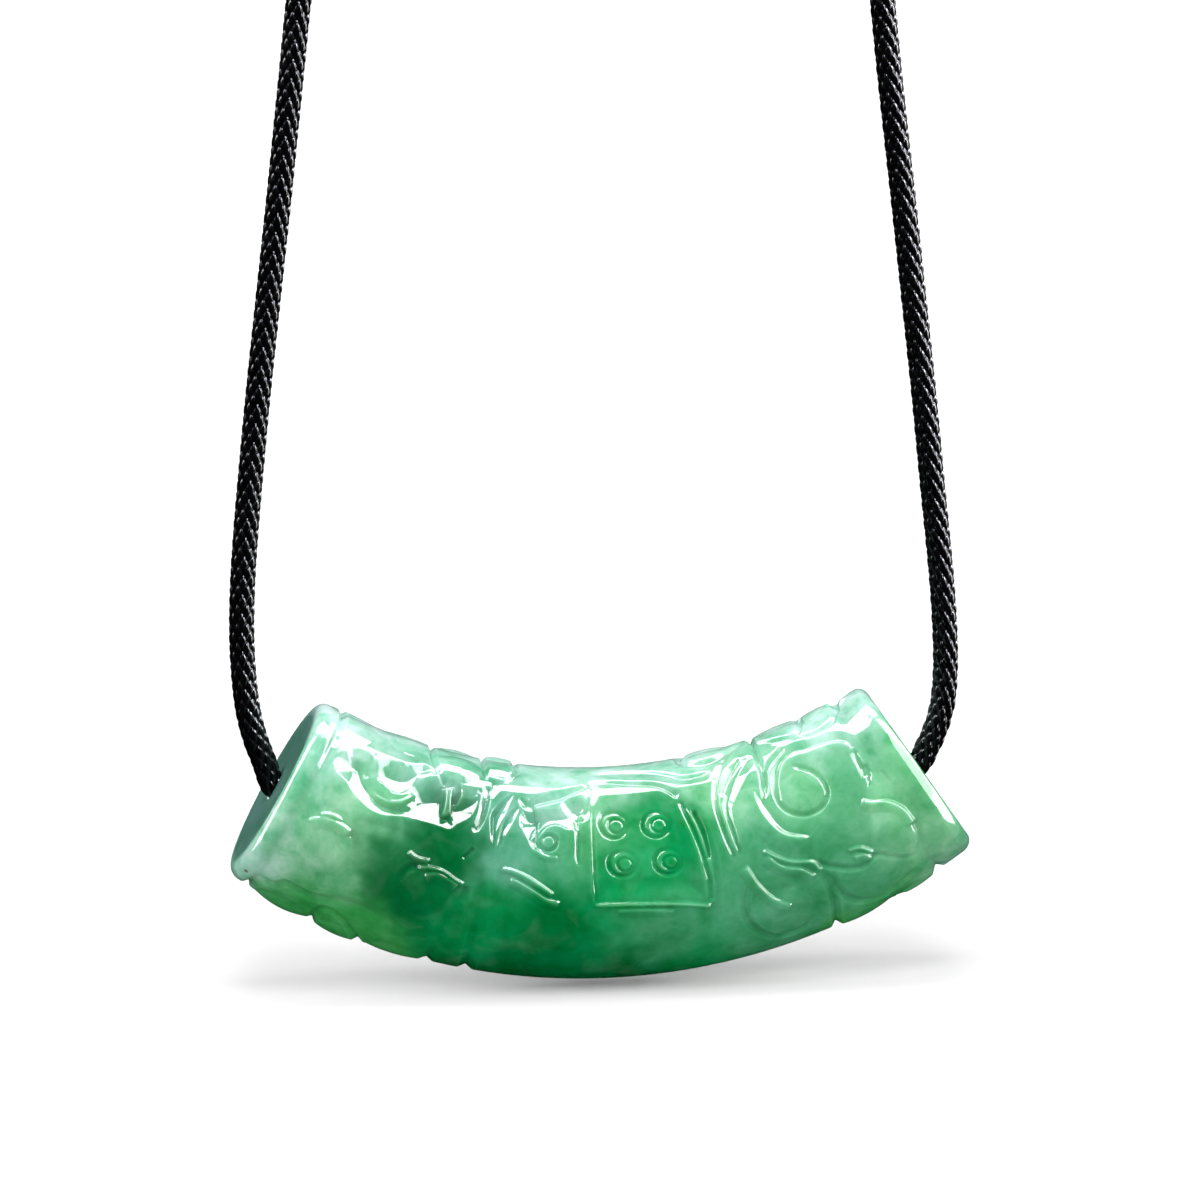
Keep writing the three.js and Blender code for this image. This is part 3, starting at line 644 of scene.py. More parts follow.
    # ---- bosses and cloud of the right part
    c.dome(R((1040, 880))[0], 28, 30, 0.3)
    c.lip([(860.5, 800.5), (872, 802.5), (887, 801.5), (903, 808.5), (914, 822)], 0.24, 0.8, fade=0.05)
    c.groove(R((1150, 815), (1196, 930), (1180, 1010)), [0.3, 0.2, 0.1], right=0.3, left=0.5, fade=0.15)
    c.dome(R((885, 1120))[0], 34, 27, 0.3, turn=-15)
    c.groove(R((580, 1060), (680, 1082), (770, 1088), (862, 1068), (935, 1008), (1020, 1020), (1110, 1030), (1195, 1008)), [0.2, 0.24, 0.26, 0.28, 0.26, 0.18, 0.16, 0.12], right=0.3, left=0.4, fade=0.06)
    c.groove(R((680, 1110), (690, 1160), (742, 1234), (830, 1277), (930, 1272), (1012, 1232), (1100, 1162), (1180, 1085)), [0.16, 0.24, 0.26, 0.28, 0.28, 0.26, 0.22, 0.14], right=0.5, left=0.5, fade=0.08)
    c.lip([(846, 850), (860, 846.5), (874, 851)], 0.2, 0.3, fade=0.15)
    c.lip([(852, 856), (863, 853), (873, 857)], 0.16, 0.6, fade=0.15)
    c.lip([(762.5, 849.5), (775, 856), (792, 860.5), (813, 861.5), (822, 870)], 0.22, 0.34, fade=0.06)
    c.lip([(764.6, 855), (783, 866), (801, 868.5), (816.6, 876)], 0.18, 0.8, fade=0.1)
    c.lip([(745.7, 865), (756, 881.5), (765, 891), (775, 898), (792, 903)], [0.2, 0.24, 0.28, 0.3, 0.26], 0.8, fade=0.06, most=0.34)
    c.boss(R((400, 1360))[0], 2.6, 0.3)
    c.groove(R((600, 1090), (658, 1172), (694, 1280), (708, 1410)), [0.2, 0.32, 0.36, 0.6], right=0.45, left=0.55, fade_start=0.12, wrap_end=True)
    c.groove(R((185, 1180), (172, 1300), (212, 1418), (330, 1484), (470, 1462), (570, 1390)), [0.14, 0.22, 0.24, 0.26, 0.24, 0.14], right=0.5, left=0.5, fade=0.1)
    c.groove(R((1050, 1283), (1060, 1250), (1120, 1200), (1200, 1140)), [0.45, 0.24, 0.2, 0.1], right=0.5, left=0.5, wrap_start=True, fade_end=0.2)
    c.boss(R((870, 1390))[0], 2.4, 0.22)
    c.boss(R((1200, 1215))[0], 2.2, 0.24)


# ---------------------------------------------------------------------------
# the stone
# ---------------------------------------------------------------------------
def make_stone():
    columns = 500
    # columns stand closer together in front
    base = np.linspace(0.0, 2 * math.pi, 4001)
    density = 1.0 + 0.62 * np.cos(base - math.pi / 2)
    cum = np.concatenate([[0.0], np.cumsum((density[1:] + density[:-1]) / 2 * np.diff(base))])
    t_cols = np.interp(np.arange(columns) / columns * cum[-1], cum, base)

    rows = []          # (s, rho as an offset from the half height or a plain radius, kind)
    n_outer = 760
    edge = HALF_LENGTH - RIM_ROUND
    # the right end has a flat chamfer with soft edges in front and behind, and is round above and below; the left one is round all over
    tilt, soft, sharp = 40 * DEG, 0.5, 0.5
    flat = (RIM_ROUND - soft * (1 - math.cos(tilt)) - sharp * math.cos(tilt)) / math.sin(tilt)
    edge_right = HALF_LENGTH - soft * math.sin(tilt) - flat * math.cos(tilt) - sharp * (1 - math.sin(tilt))
    for s in np.linspace(-edge, edge_right, n_outer):
        rows.append((s, 0.0, "outer"))
    rim = 9
    for i in range(1, 6):
        a = i / 5 * tilt
        rows.append((edge_right + soft * math.sin(a), soft * (1 - math.cos(a)), "rim"))
    for i in range(1, 7):
        x = i / 6 * flat
        rows.append((edge_right + soft * math.sin(tilt) + x * math.cos(tilt), soft * (1 - math.cos(tilt)) + x * math.sin(tilt), "rim"))
    for i in range(1, 7):
        a = tilt + i / 6 * (math.pi / 2 - tilt)
        rows.append((HALF_LENGTH - sharp * (1 - math.sin(a)), RIM_ROUND - sharp * math.cos(a), "rim"))
    for f in (0.12, 0.3, 0.5, 0.7, 0.86, 0.95):
        rows.append((HALF_LENGTH, f, "face"))
    for a in (90, 68, 46, 24, 0):
        rows.append((HALF_LENGTH - 0.5 * (1 - math.sin(a * DEG)), MOUTH - (MOUTH - BORE) * math.cos(a * DEG), "bore"))
    for s in np.linspace(HALF_LENGTH - 2.0, -(HALF_LENGTH - 2.0), 13):
        rows.append((s, BORE, "bore"))
    for a in (0, 24, 46, 68, 90):
        rows.append((-HALF_LENGTH + 0.5 * (1 - math.sin(a * DEG)), MOUTH - (MOUTH - BORE) * math.cos(a * DEG), "bore"))
    for f in (0.95, 0.86, 0.7, 0.5, 0.3, 0.12):
        rows.append((-HALF_LENGTH, f, "face"))
    for i in range(rim, 0, -1):
        a = i / rim * math.pi / 2
        rows.append((-HALF_LENGTH + RIM_ROUND * (1 - math.sin(a)), RIM_ROUND * (1 - math.cos(a)), "rim"))

    s_rows = np.array([r[0] for r in rows])
    kinds = np.array([r[2] for r in rows])
    n = len(rows)
    rho = np.zeros((n, columns))
    for i, (s, value, kind) in enumerate(rows):
        if kind == "outer":
            rho[i] = half_height(s)
        elif kind == "rim":
            drop = value
            if s > 0:
                x = max(0.0, s - edge)
                plain = RIM_ROUND - math.sqrt(max(RIM_ROUND ** 2 - x * x, 0.0))
                drop = plain + (value - plain) * np.sin(t_cols) ** 2
            rho[i] = half_height(edge_right if s > 0 else -edge) - drop
        elif kind == "face":
            top = half_height(edge_right if s > 0 else -edge) - RIM_ROUND
            rho[i] = top + (MOUTH - top) * value
        else:
            rho[i] = value

    # carve the outer rows
    outer = np.where(kinds == "outer")[0]
    ss, tt = np.meshgrid(s_rows[outer], t_cols, indexing="ij")
    r0 = rho[outer]
    pts = body_point(ss, tt, r0).reshape(-1, 3)
    fold = np.where(tt > math.pi, 2 * math.pi - tt, tt)          # the back's columns, mirrored to the front
    lean = section_lean(ss / ARC_RADIUS)
    normal = np.stack([-np.cos(fold) * np.sin(lean), -np.sin(fold), np.cos(fold) * np.cos(lean)], -1)
    c = Carver(pts, (-(normal @ CAM_FWD)).ravel(), ss.ravel(), fold.ravel(), r0.ravel())
    carve(c, fold.ravel(), r0.ravel())
    h = c.h.reshape(len(outer), columns)

    # soften the tool marks a little, and keep the deepest cuts shallow
    def blur(a, passes, k=0.25):
        for _ in range(passes):
            b = np.concatenate([a[:1], a, a[-1:]], 0)
            a = k * b[:-2] + (1 - 2 * k) * b[1:-1] + k * b[2:]
            a = k * np.roll(a, 1, 1) + (1 - 2 * k) * a + k * np.roll(a, -1, 1)
        return a
    h = np.where(h < -1.2, -1.2 - 0.35 * (1 - np.exp((h + 1.2) / 0.35)), h)
    h = np.where(h > 0.3, 0.3 + 0.2 * (1 - np.exp(-(h - 0.3) / 0.2)), h)
    h = blur(h, 1, 0.15)
    # the carving fades out just before the rims
    quiet = smooth((np.where(s_rows[outer] > 0, edge_right, edge) + 0.1 - np.abs(s_rows[outer])) / 0.7)[:, None]
    h = h * quiet
    # how far each point lies below or above its surroundings: the jade material paints shade into the cuts and a
    # highlight onto the raised edges from it
    relief_shade_and_highlight = h - blur(h, 24)
    rho[outer] = r0 + h

    ss, tt = np.meshgrid(s_rows, t_cols, indexing="ij")
    verts = body_point(ss, tt, rho).reshape(-1, 3)
    idx = np.arange(n * columns).reshape(n, columns)
    a, b = idx, np.roll(idx, -1, 1)
    d, e = np.roll(idx, -1, 0), np.roll(np.roll(idx, -1, 0), -1, 1)
    quads = np.stack([a, b, e, d], -1).reshape(-1, 4)
    obj = new_mesh("carved_stone", verts + SHIFT, quads.tolist())

    # the map runs round the stone across, and along it upwards, with little room for the bore
    grid = verts.reshape(n, columns, 3)
    step = np.linalg.norm(np.roll(grid, -1, 0) - grid, axis=2).mean(1)
    step = np.where((kinds == "bore") & (np.roll(kinds, -1) == "bore"), 0.1, 1.0) * step
    up = np.concatenate([[0.0], np.cumsum(step)]) / step.sum()
    turn = np.concatenate([t_cols, [2 * math.pi]]) / (2 * math.pi)
    v0, u0 = np.meshgrid(up[:-1], turn[:-1], indexing="ij")
    v1, u1 = np.meshgrid(up[1:], turn[1:], indexing="ij")
    add_map(obj, np.stack([u0, v0, u1, v0, u1, v1, u0, v1], -1).reshape(-1, 2))

    # the relief measure that drives the painted shade and highlight
    cav = np.zeros((n, columns))
    cav[outer] = relief_shade_and_highlight
    add_float(obj, "relief_shade_and_highlight", cav.ravel())
    # the ends and the bore are rougher, and carry painted shade
    dull_and_shaded = np.zeros((n, columns))
    dull_and_shaded[(kinds == "face") | (kinds == "bore")] = 1.0
    add_float(obj, "dull_and_shaded", dull_and_shaded.ravel())
    tone = stone_tone(verts).reshape(n, columns, 3)
    # painted shade: the end faces and the bore are pulled towards a darker tone, the left end more than the right
    for row in range(n):
        if kinds[row] in ("face", "bore"):
            tone[row] += (np.array(TONES["end"]) - tone[row]) * (0.7 if s_rows[row] < 0 else 0.35)
    add_colour(obj, "tone", tone.reshape(-1, 3))
    return obj


TONES = {
    "mint": linear(182, 228, 212),
    "pale": linear(174, 222, 186),
    "apple": linear(122, 202, 148),
    "teal": linear(102, 178, 148),
    "emerald": linear(4, 156, 86),
    "deep": linear(0, 114, 57),
    "leaf": linear(64, 172, 88),
    "mid": linear(86, 176, 128),
    # a darker tone, used as painted shade on the end faces and the bore
    "end": linear(84, 140, 120),
}

# soft clouds of colour in the stone: where (front view), how far they reach in mm, which tone, how strong
CLOUDS = [
    ((290, 760), 3.4, "mint", 1.2), ((262, 840), 3.0, "mint", 1.2), ((300, 830), 3.0, "pale", 0.8), ((330, 725), 3.0, "mint", 1.2),
    ((325, 850), 3.0, "apple", 0.9), ((380, 745), 2.8, "mint", 0.9), ((375, 800), 2.6, "apple", 0.7), ((300, 895), 2.6, "leaf", 0.8),
    ((345, 925), 2.6, "leaf", 1.2), ((410, 790), 2.4, "teal", 0.7), ((455, 765), 2.4, "mint", 0.8), ((400, 860), 2.6, "deep", 1.5),
    ((450, 840), 2.6, "deep", 1.8), ((425, 895), 3.0, "deep", 1.9), ((380, 930), 2.6, "leaf", 0.7), ((460, 930), 3.0, "emerald", 1.0),
    ((505, 800), 2.4, "teal", 1.1), ((515, 850), 2.8, "teal", 1.1), ((545, 800), 2.4, "mint", 0.8), ((560, 850), 2.4, "mid", 0.8),
    ((540, 776), 2.2, "mint", 0.9), ((520, 915), 3.2, "emerald", 1.3), ((560, 940), 3.2, "deep", 1.0), ((500, 960), 3.0, "deep", 1.4),
    ((610, 830), 2.4, "apple", 0.8), ((650, 840), 2.8, "emerald", 2.2), ((690, 850), 2.6, "emerald", 1.0), ((640, 885), 3.0, "emerald", 1.6),
    ((600, 930), 3.0, "emerald", 1.1), ((660, 925), 2.6, "mid", 1.4), ((620, 965), 3.0, "deep", 1.7), ((700, 950), 3.0, "emerald", 0.8),
    ((680, 775), 2.4, "mint", 1.0), ((620, 775), 2.4, "mint", 0.8), ((725, 790), 2.6, "apple", 0.8), ((735, 860), 2.8, "mid", 0.9),
    ((760, 770), 2.6, "mint", 0.6), ((800, 790), 3.0, "apple", 1.0), ((820, 720), 3.0, "mint", 1.1), ((860, 710), 3.0, "mint", 1.2),
    ((850, 780), 3.0, "mid", 0.7), ((820, 850), 3.0, "mid", 0.9), ((790, 900), 3.0, "mid", 1.0), ((760, 930), 3.0, "mid", 0.9),
    ((895, 780), 3.0, "apple", 0.9), ((935, 830), 2.8, "apple", 1.1), ((890, 835), 2.6, "apple", 1.1), ((865, 880), 2.8, "mid", 0.9),
    ((900, 885), 2.6, "leaf", 0.5), ((955, 852), 2.4, "mint", 0.8), ((830, 920), 2.6, "leaf", 0.4), ((925, 870), 2.4, "apple", 0.8),
]


def stone_tone(verts):
    places = to_surface([c[0] for c in CLOUDS])
    # a cloud reaches through the stone, and its middle lies under the surface
    places = places * np.array([1.0, 0.8, 1.0])
    p = verts.copy()
    p[:, 1] *= np.where(p[:, 1] > 0, 0.55, 1.0)
    for size, swing in ((3.4, 1.5), (1.5, 0.8), (0.7, 0.35)):
        p += swing * np.array([noise_field.noise_vector(Vector(q)) for q in (verts / size).tolist()])
    total = np.zeros(len(p))
    rgb = np.zeros((len(p), 3))
    for at, (_, reach, tone, strength) in zip(places, CLOUDS):
        d2 = ((p - at) ** 2).sum(1)
        w = strength * np.exp(-d2 / reach ** 2) + 1e-5 * strength / (1.0 + d2)
        total += w
        rgb += w[:, None] * np.array(TONES[tone])
    return rgb / total[:, None]


# ---------------------------------------------------------------------------
# braided cord
# ---------------------------------------------------------------------------
def frames_along(path):
    d = np.gradient(path, axis=0)
    d /= np.linalg.norm(d, axis=1)[:, None]
    n = np.zeros_like(path)
    first = np.array([0.0, -1.0, 0.0])
    first -= d[0] * (first @ d[0])
    if np.linalg.norm(first) < 0.1:
        first = np.array([1.0, 0.0, 0.0]) - d[0] * d[0, 0]
    n[0] = first / np.linalg.norm(first)
    for i in range(1, len(path)):
        v = n[i - 1] - d[i] * (n[i - 1] @ d[i])
        n[i] = v / np.linalg.norm(v)
    return d, n, np.cross(d, n)


def braid_height(phi, ell, carriers=4, pitch=1.45):
    """Height of a round braid's surface, 0 to 1, and the place across the strand on top, -0.5 to 0.5."""
    a = carriers * phi / (2 * math.pi)
    u, v = a + ell / pitch, a - ell / pitch
    i, j = np.floor(u), np.floor(v)
    fu, fv = u - i - 0.5, v - j - 0.5
    s_top = ((i + j) % 2) == 0
    across = np.where(s_top, fu, fv)
    along = np.where(s_top, fv, fu)
    body = 1.0 - 0.62 * np.clip((np.abs(across) - 0.27) / 0.23, 0.0, 1.0)          # a flat top with bevelled edges
    arch = np.cos(math.pi * along * 0.97)
    return body * (0.1 + 0.9 * np.clip(arch, 0.0, 1.0) ** 0.42), across, along


def tube_mesh(name, path, radius, ring=40, step=0.09, braid=True, relief=0.22, tip_end=False, tip_start=False, pitch=1.45, carriers=4, folds=0):
    """A round cord along path, in mm about the mouth axis. radius may be a list along it."""
    pts, at = resample(path, step)
    d, n, b = frames_along(pts)
    m = len(pts)
    phi = np.arange(ring) / ring * 2 * math.pi
    r = Carver.along_values(radius, np.linspace(0, 1, m))[:, None] * np.ones((1, ring))
    across = np.zeros((m, ring))
    top = np.ones((m, ring))
    if braid:
        top, across, _ = braid_height(phi[None, :] + math.pi / carriers, at[:, None], carriers, pitch)
        r = r * (1.0 - relief + relief * 1.12 * top)
    for end, on in ((at, tip_start), (at[-1] - at, tip_end)):
        if on:
            reach = 0.75
            x = np.clip(1.0 - end / reach, 0.0, 1.0)
            r = r * np.sqrt(np.clip(1.0 - 0.8 * x * x, 0.0, 1.0))[:, None]
    ring_pts = pts[:, None, :] + r[..., None] * (np.cos(phi)[None, :, None] * n[:, None, :] + np.sin(phi)[None, :, None] * b[:, None, :])
    verts = np.concatenate([ring_pts.reshape(-1, 3), pts[:1], pts[-1:]])
    idx = np.arange(m * ring).reshape(m, ring)
    p, q = idx[:-1], np.roll(idx[:-1], -1, 1)
    s, t = idx[1:], np.roll(idx[1:], -1, 1)
    quads = np.stack([p, q, t, s], -1).reshape(-1, 4).tolist()
    first, last = m * ring, m * ring + 1
    tris = [(first, int(idx[0, (k + 1) % ring]), int(idx[0, k])) for k in range(ring)]
    tris += [(last, int(idx[-1, k]), int(idx[-1, (k + 1) % ring])) for k in range(ring)]
    obj = new_mesh(name, verts + SHIFT, quads, tris)
    if folds:
        # the map lies in strips side by side, with the two ends above them
        per = math.ceil((m - 1) / folds)
        row, col = np.meshgrid(np.arange(m - 1), np.arange(ring), indexing="ij")
        strip, at_row = row // per, row % per
        u0, u1 = (strip + 0.01 + 0.98 * col / ring) / folds, (strip + 0.01 + 0.98 * (col + 1) / ring) / folds
        v0, v1 = 0.98 * at_row / per, 0.98 * (at_row + 1) / per
        sides = np.stack([u0, v0, u1, v0, u1, v1, u0, v1], -1).reshape(-1, 2)
        fan = [(0.5 * c + 0.48 * (k + x) / ring, y) for c in (0, 1) for k in range(ring) for x, y in ((0.5, 0.999), (1.0, 0.986), (0.0, 0.986))]
        add_map(obj, np.concatenate([sides, np.array(fan)]))
    add_float(obj, "across", np.concatenate([across.ravel(), [0.0, 0.0]]))
    # how high the strand on top stands: the cord material paints shade where it dips under a crossing
    add_float(obj, "lay", np.concatenate([top.ravel(), [0.5, 0.5]]))
    return obj, pts


def on_bore(angle):
    return np.array([ARC_RADIUS * math.sin(angle), 0.0, ARC_Z - ARC_RADIUS * math.cos(angle)])


def on_loop(angle, y, arm=LOOP_RADIUS):
    a = angle * DEG
    return np.array([LOOP_X + arm * math.sin(a), y, LOOP_Z + arm * math.cos(a)])


def strand_path(side):
    """From the middle of the bore to the stopper knot."""
    leg = LEFT_LEG if side < 0 else RIGHT_LEG
    tangent = LEFT_TANGENT if side < 0 else RIGHT_TANGENT
    pts = [on_bore(side * HALF_ANGLE * f) for f in np.linspace(0.0, 1.0, 9)[:-1]]
    pts += [on_bore(side * (HALF_ANGLE - 1.2 * DEG)), on_bore(side * HALF_ANGLE)]
    pts += [np.array([x, 0.0, z]) for x, z in leg]
    a = tangent
    while True:
        at = max(a, -STRAND_END)
        y = STRAND_Y * float(smooth((tangent - at) / (tangent - SPREAD_END)))
        y += (KNOT_Y - STRAND_Y) * float(smooth((-at - SPLAY_START) / (STRAND_END - SPLAY_START)))
        pts.append(on_loop(side * at, side * y))
        if at <= -STRAND_END:
            break
        a -= 6.0
    # the end runs on into the middle of the stopper knot
    for extra in (2.0, 4.5):
        pts.append(on_loop(-side * (STRAND_END + extra), side * KNOT_Y))
    return catmull(pts, 14)


def knot_frame(side):
    a = -side * KNOT_ANGLE * DEG
    axis = np.array([math.cos(a), 0.0, -math.sin(a)]) * -side
    out = np.array([math.sin(a), 0.0, math.cos(a)])
    return on_loop(-side * KNOT_ANGLE, side * KNOT_Y), axis, out, np.cross(axis, out)


def join(objs, name):
    bpy.ops.object.select_all(action="DESELECT")
    for o in objs:
        o.select_set(True)
    bpy.context.view_layer.objects.active = objs[0]
    bpy.ops.object.join()
    objs[0].name = name
    objs[0].data.name = name
    return objs[0]


def make_stopper(side, name):
    """A barrel stopper knot: the cord's end wrapped round itself, and a short sealed tail."""
    centre, axis, out, across = knot_frame(side)
    core = [centre + axis * z for z in np.linspace(-1.9, 4.5, 14)]
    tail, _ = tube_mesh(name + "_tail", catmull(core, 6), [0.86] * 5 + [0.9, 0.94, 0.9], ring=32, step=0.1, relief=0.18, tip_end=True, tip_start=True)
    turns, r, pitch = 2.35, 1.44, 1.36
    wrap = []
    n = 90
    for k in range(n + 1):
        f = k / n
        angle = 2 * math.pi * turns * f * -side + 0.6
        tuck = smooth(np.array([min(f, 1 - f) / 0.1]))[0]
        rad = 0.72 + (r - 0.72) * tuck
        z = (f - 0.5) * turns * pitch * 0.92
        wrap.append(centre + axis * z + rad * (math.cos(angle) * out + math.sin(angle) * across))
    coil, _ = tube_mesh(name + "_coil", catmull(wrap, 3), 0.74, ring=30, step=0.1, relief=0.2, pitch=1.25, tip_end=True, tip_start=True)
    return join([tail, coil], name)


def make_slider(name):
    """The sliding knot: a thinner cord wrapped closely round both strands, its ends tucked in and sealed."""
    turns = 9.6
    wire = 0.47
    half_w, half_h = 2.86, 1.72
    flat = half_w - half_h
    per = 4 * flat + 2 * math.pi * half_h
    pts = []
    n = int(turns * 72)
    for k in range(n + 1):
        f = k / n
        walk = (f * turns * per) % per
        if walk < 2 * flat:
            y, q = -flat + walk, half_h
        elif walk < 2 * flat + math.pi * half_h:
            a = (walk - 2 * flat) / half_h
            y, q = flat + half_h * math.sin(a), half_h * math.cos(a)
        elif walk < 4 * flat + math.pi * half_h:
            y, q = flat - (walk - 2 * flat - math.pi * half_h), -half_h
        else:
            a = (walk - 4 * flat - math.pi * half_h) / half_h
            y, q = -flat - half_h * math.sin(a), -half_h * math.cos(a)
        angle = (f - 0.5) * 2 * (SLIDER_HALF_ANGLE - 1.3)
        pts.append(on_loop(angle, y, LOOP_RADIUS + q))
    obj, _ = tube_mesh(name, catmull(pts, 2), wire, ring=16, step=0.13, relief=0.16, pitch=0.8, carriers=4, tip_end=True, tip_start=True)
    return obj


# ---------------------------------------------------------------------------
# materials
# ---------------------------------------------------------------------------
def material(name):
    m = bpy.data.materials.new(name)
    m.use_nodes = True
    nt = m.node_tree
    return m, nt, nt.nodes["Principled BSDF"]


def node(nt, kind, **values):
    n = nt.nodes.new(kind)
    for k, v in values.items():
        if k in n.inputs:
            n.inputs[k].default_value = v
        else:
            setattr(n, k, v)
    return n


def mix(nt, blend, factor, a, b):
    n = nt.nodes.new("ShaderNodeMix")
    n.data_type = "RGBA"
    n.blend_type = blend
    for socket, value in ((n.inputs[0], factor), (n.inputs[6], a), (n.inputs[7], b)):
        if isinstance(value, bpy.types.NodeSocket):
            nt.links.new(value, socket)
        else:
            socket.default_value = value if not isinstance(value, tuple) or len(value) == 4 else (*value, 1.0)
    return n.outputs[2]


def ranged(nt, value, a, b, lo, hi):
    n = node(nt, "ShaderNodeMapRange")
    n.inputs["From Min"].default_value, n.inputs["From Max"].default_value = a, b
    n.inputs["To Min"].default_value, n.inputs["To Max"].default_value = lo, hi
    nt.links.new(value, n.inputs["Value"])
    return n.outputs["Result"]


def noise(nt, coords, scale, detail=4.0, rough=0.55, distort=0.0):
    n = node(nt, "ShaderNodeTexNoise")
    n.inputs["Scale"].default_value = scale
    n.inputs["Detail"].default_value = detail
    n.inputs["Roughness"].default_value = rough
    n.inputs["Distortion"].default_value = distort
    nt.links.new(coords, n.inputs["Vector"])
    return n.outputs["Fac"]


def jade_material():
    m, nt, p = material("jade")
    coords = node(nt, "ShaderNodeTexCoord").outputs["Object"]
    tone = node(nt, "ShaderNodeAttribute", attribute_name="tone").outputs["Color"]
    relief_shade_and_highlight = node(nt, "ShaderNodeAttribute", attribute_name="relief_shade_and_highlight").outputs["Fac"]

    # cloudy mottling, milky and darker, in three sizes
    clouds = noise(nt, coords, 230.0, 4.0, 0.55, 0.4)
    colour = mix(nt, "MULTIPLY", ranged(nt, clouds, 0.5, 0.7, 0.0, 0.85), tone, (0.36, 0.74, 0.54))
    colour = mix(nt, "MULTIPLY", ranged(nt, clouds, 0.48, 0.28, 0.0, 0.9), colour, (1.5, 1.2, 1.36))
    blots = noise(nt, coords, 560.0, 4.0, 0.55, 0.3)
    colour = mix(nt, "MULTIPLY", ranged(nt, blots, 0.52, 0.72, 0.0, 0.8), colour, (0.42, 0.78, 0.6))
    colour = mix(nt, "MULTIPLY", ranged(nt, blots, 0.48, 0.28, 0.0, 0.8), colour, (1.5, 1.18, 1.34))
    colour = mix(nt, "SCREEN", ranged(nt, noise(nt, coords, 380.0, 3.0, 0.5, 0.6), 0.5, 0.74, 0.0, 0.12), colour, (0.3, 0.44, 0.37))
    colour = mix(nt, "MULTIPLY", ranged(nt, noise(nt, coords, 1700.0, 4.0, 0.65, 0.4), 0.5, 0.72, 0.0, 0.4), colour, (0.6, 0.88, 0.72))
    # painted shade darkens the cuts, and a painted highlight lightens the raised edges
    colour = mix(nt, "MULTIPLY", ranged(nt, relief_shade_and_highlight, -0.04, -0.3, 0.0, 0.12), colour, (0.45, 0.8, 0.6))
    colour = mix(nt, "SCREEN", ranged(nt, relief_shade_and_highlight, 0.02, 0.22, 0.0, 0.14), colour, (0.75, 0.95, 0.8))
    # one small brown inclusion near the left end
    speck_at = to_surface([(246.0, 871.0)])[0] + SHIFT
    away = node(nt, "ShaderNodeVectorMath", operation="DISTANCE")
    nt.links.new(coords, away.inputs[0])
    away.inputs[1].default_value = tuple((speck_at * MM).tolist())
    colour = mix(nt, "MIX", ranged(nt, away.outputs["Value"], 0.00012, 0.00026, 0.8, 0.0), colour, linear(104, 84, 40))
    # the sawn ends and the bore are less polished, and painted shade darkens them
    dull_and_shaded = node(nt, "ShaderNodeAttribute", attribute_name="dull_and_shaded").outputs["Fac"]
    colour = mix(nt, "MULTIPLY", dull_and_shaded, colour, (0.42, 0.6, 0.6))
    nt.links.new(colour, p.inputs["Base Color"])
    nt.links.new(ranged(nt, dull_and_shaded, 0.0, 1.0, 0.055, 0.3), p.inputs["Roughness"])
    p.inputs["IOR"].default_value = 1.66
    p.inputs["Subsurface Weight"].default_value = 0.7
    p.inputs["Subsurface Radius"].default_value = (0.6, 1.0, 0.7)
    p.inputs["Subsurface Scale"].default_value = 0.0016
    return m


def cord_material(name, gloss=0.3):
    m, nt, p = material(name)
    coords = node(nt, "ShaderNodeTexCoord").outputs["Object"]
    across = node(nt, "ShaderNodeAttribute", attribute_name="across").outputs["Fac"]
    lay = node(nt, "ShaderNodeAttribute", attribute_name="lay").outputs["Fac"]
    worn = noise(nt, coords, 900.0, 4.0, 0.6)
    colour = mix(nt, "MIX", ranged(nt, worn, 0.35, 0.7, 0.0, 1.0), linear(3, 3, 4), linear(10, 10, 12))
    # painted shade: darker where the strands dip under each other
    colour = mix(nt, "MULTIPLY", ranged(nt, lay, 0.1, 0.6, 0.8, 0.0), colour, (0.25, 0.25, 0.25))
    nt.links.new(colour, p.inputs["Base Color"])
    rough = ranged(nt, noise(nt, coords, 700.0, 2.0, 0.5), 0.3, 0.7, gloss - 0.05, gloss + 0.08)
    nt.links.new(rough, p.inputs["Roughness"])
    # filaments along each strand
    wave = node(nt, "ShaderNodeMath", operation="MULTIPLY")
    nt.links.new(across, wave.inputs[0])
    wave.inputs[1].default_value = 46.0
    sine = node(nt, "ShaderNodeMath", operation="SINE")
    nt.links.new(wave.outputs[0], sine.inputs[0])
    bump = node(nt, "ShaderNodeBump")
    bump.inputs["Strength"].default_value = 0.05
    bump.inputs["Distance"].default_value = 0.00003
    nt.links.new(sine.outputs[0], bump.inputs["Height"])
    nt.links.new(bump.outputs["Normal"], p.inputs["Normal"])
    p.inputs["IOR"].default_value = 1.5
    p.inputs["Specular IOR Level"].default_value = 0.08
    p.inputs["Coat Weight"].default_value = 0.5
    p.inputs["Coat Roughness"].default_value = 0.06
    return m


# ---------------------------------------------------------------------------
# stage: floor, light
# ---------------------------------------------------------------------------
FLOOR_Z = -98.75 * MM
MIDDLE = np.array([0.0, 0.0, -0.085])
SKY_LOW, SKY_HIGH = 0.64, 1.06
SUN = 1.5
FLOOR_LIGHT = 28.0


def arch_light(name, direction, dist, width, depth, radiance):
    """A soft panel that is seen only in reflections; its radiance stays the same whatever its size."""
    direction = direction / np.linalg.norm(direction)
    at = MIDDLE + direction * dist
    side = np.cross(np.array([0.0, 1.0, 0.0]), direction)
    side /= np.linalg.norm(side)
    up = np.cross(direction, side)
    data = bpy.data.lights.new(name, "AREA")
    data.shape = "RECTANGLE"
    data.size, data.size_y = width, depth
    data.energy = radiance * math.pi * width * depth
    obj = bpy.data.objects.new(name, data)
    bpy.context.scene.collection.objects.link(obj)
    m = np.eye(4)
    m[:3, 0], m[:3, 1], m[:3, 2], m[:3, 3] = side, up, direction, at
    obj.matrix_world = Matrix(m.tolist())
    obj.visible_camera = False
    obj.visible_diffuse = False
    return obj


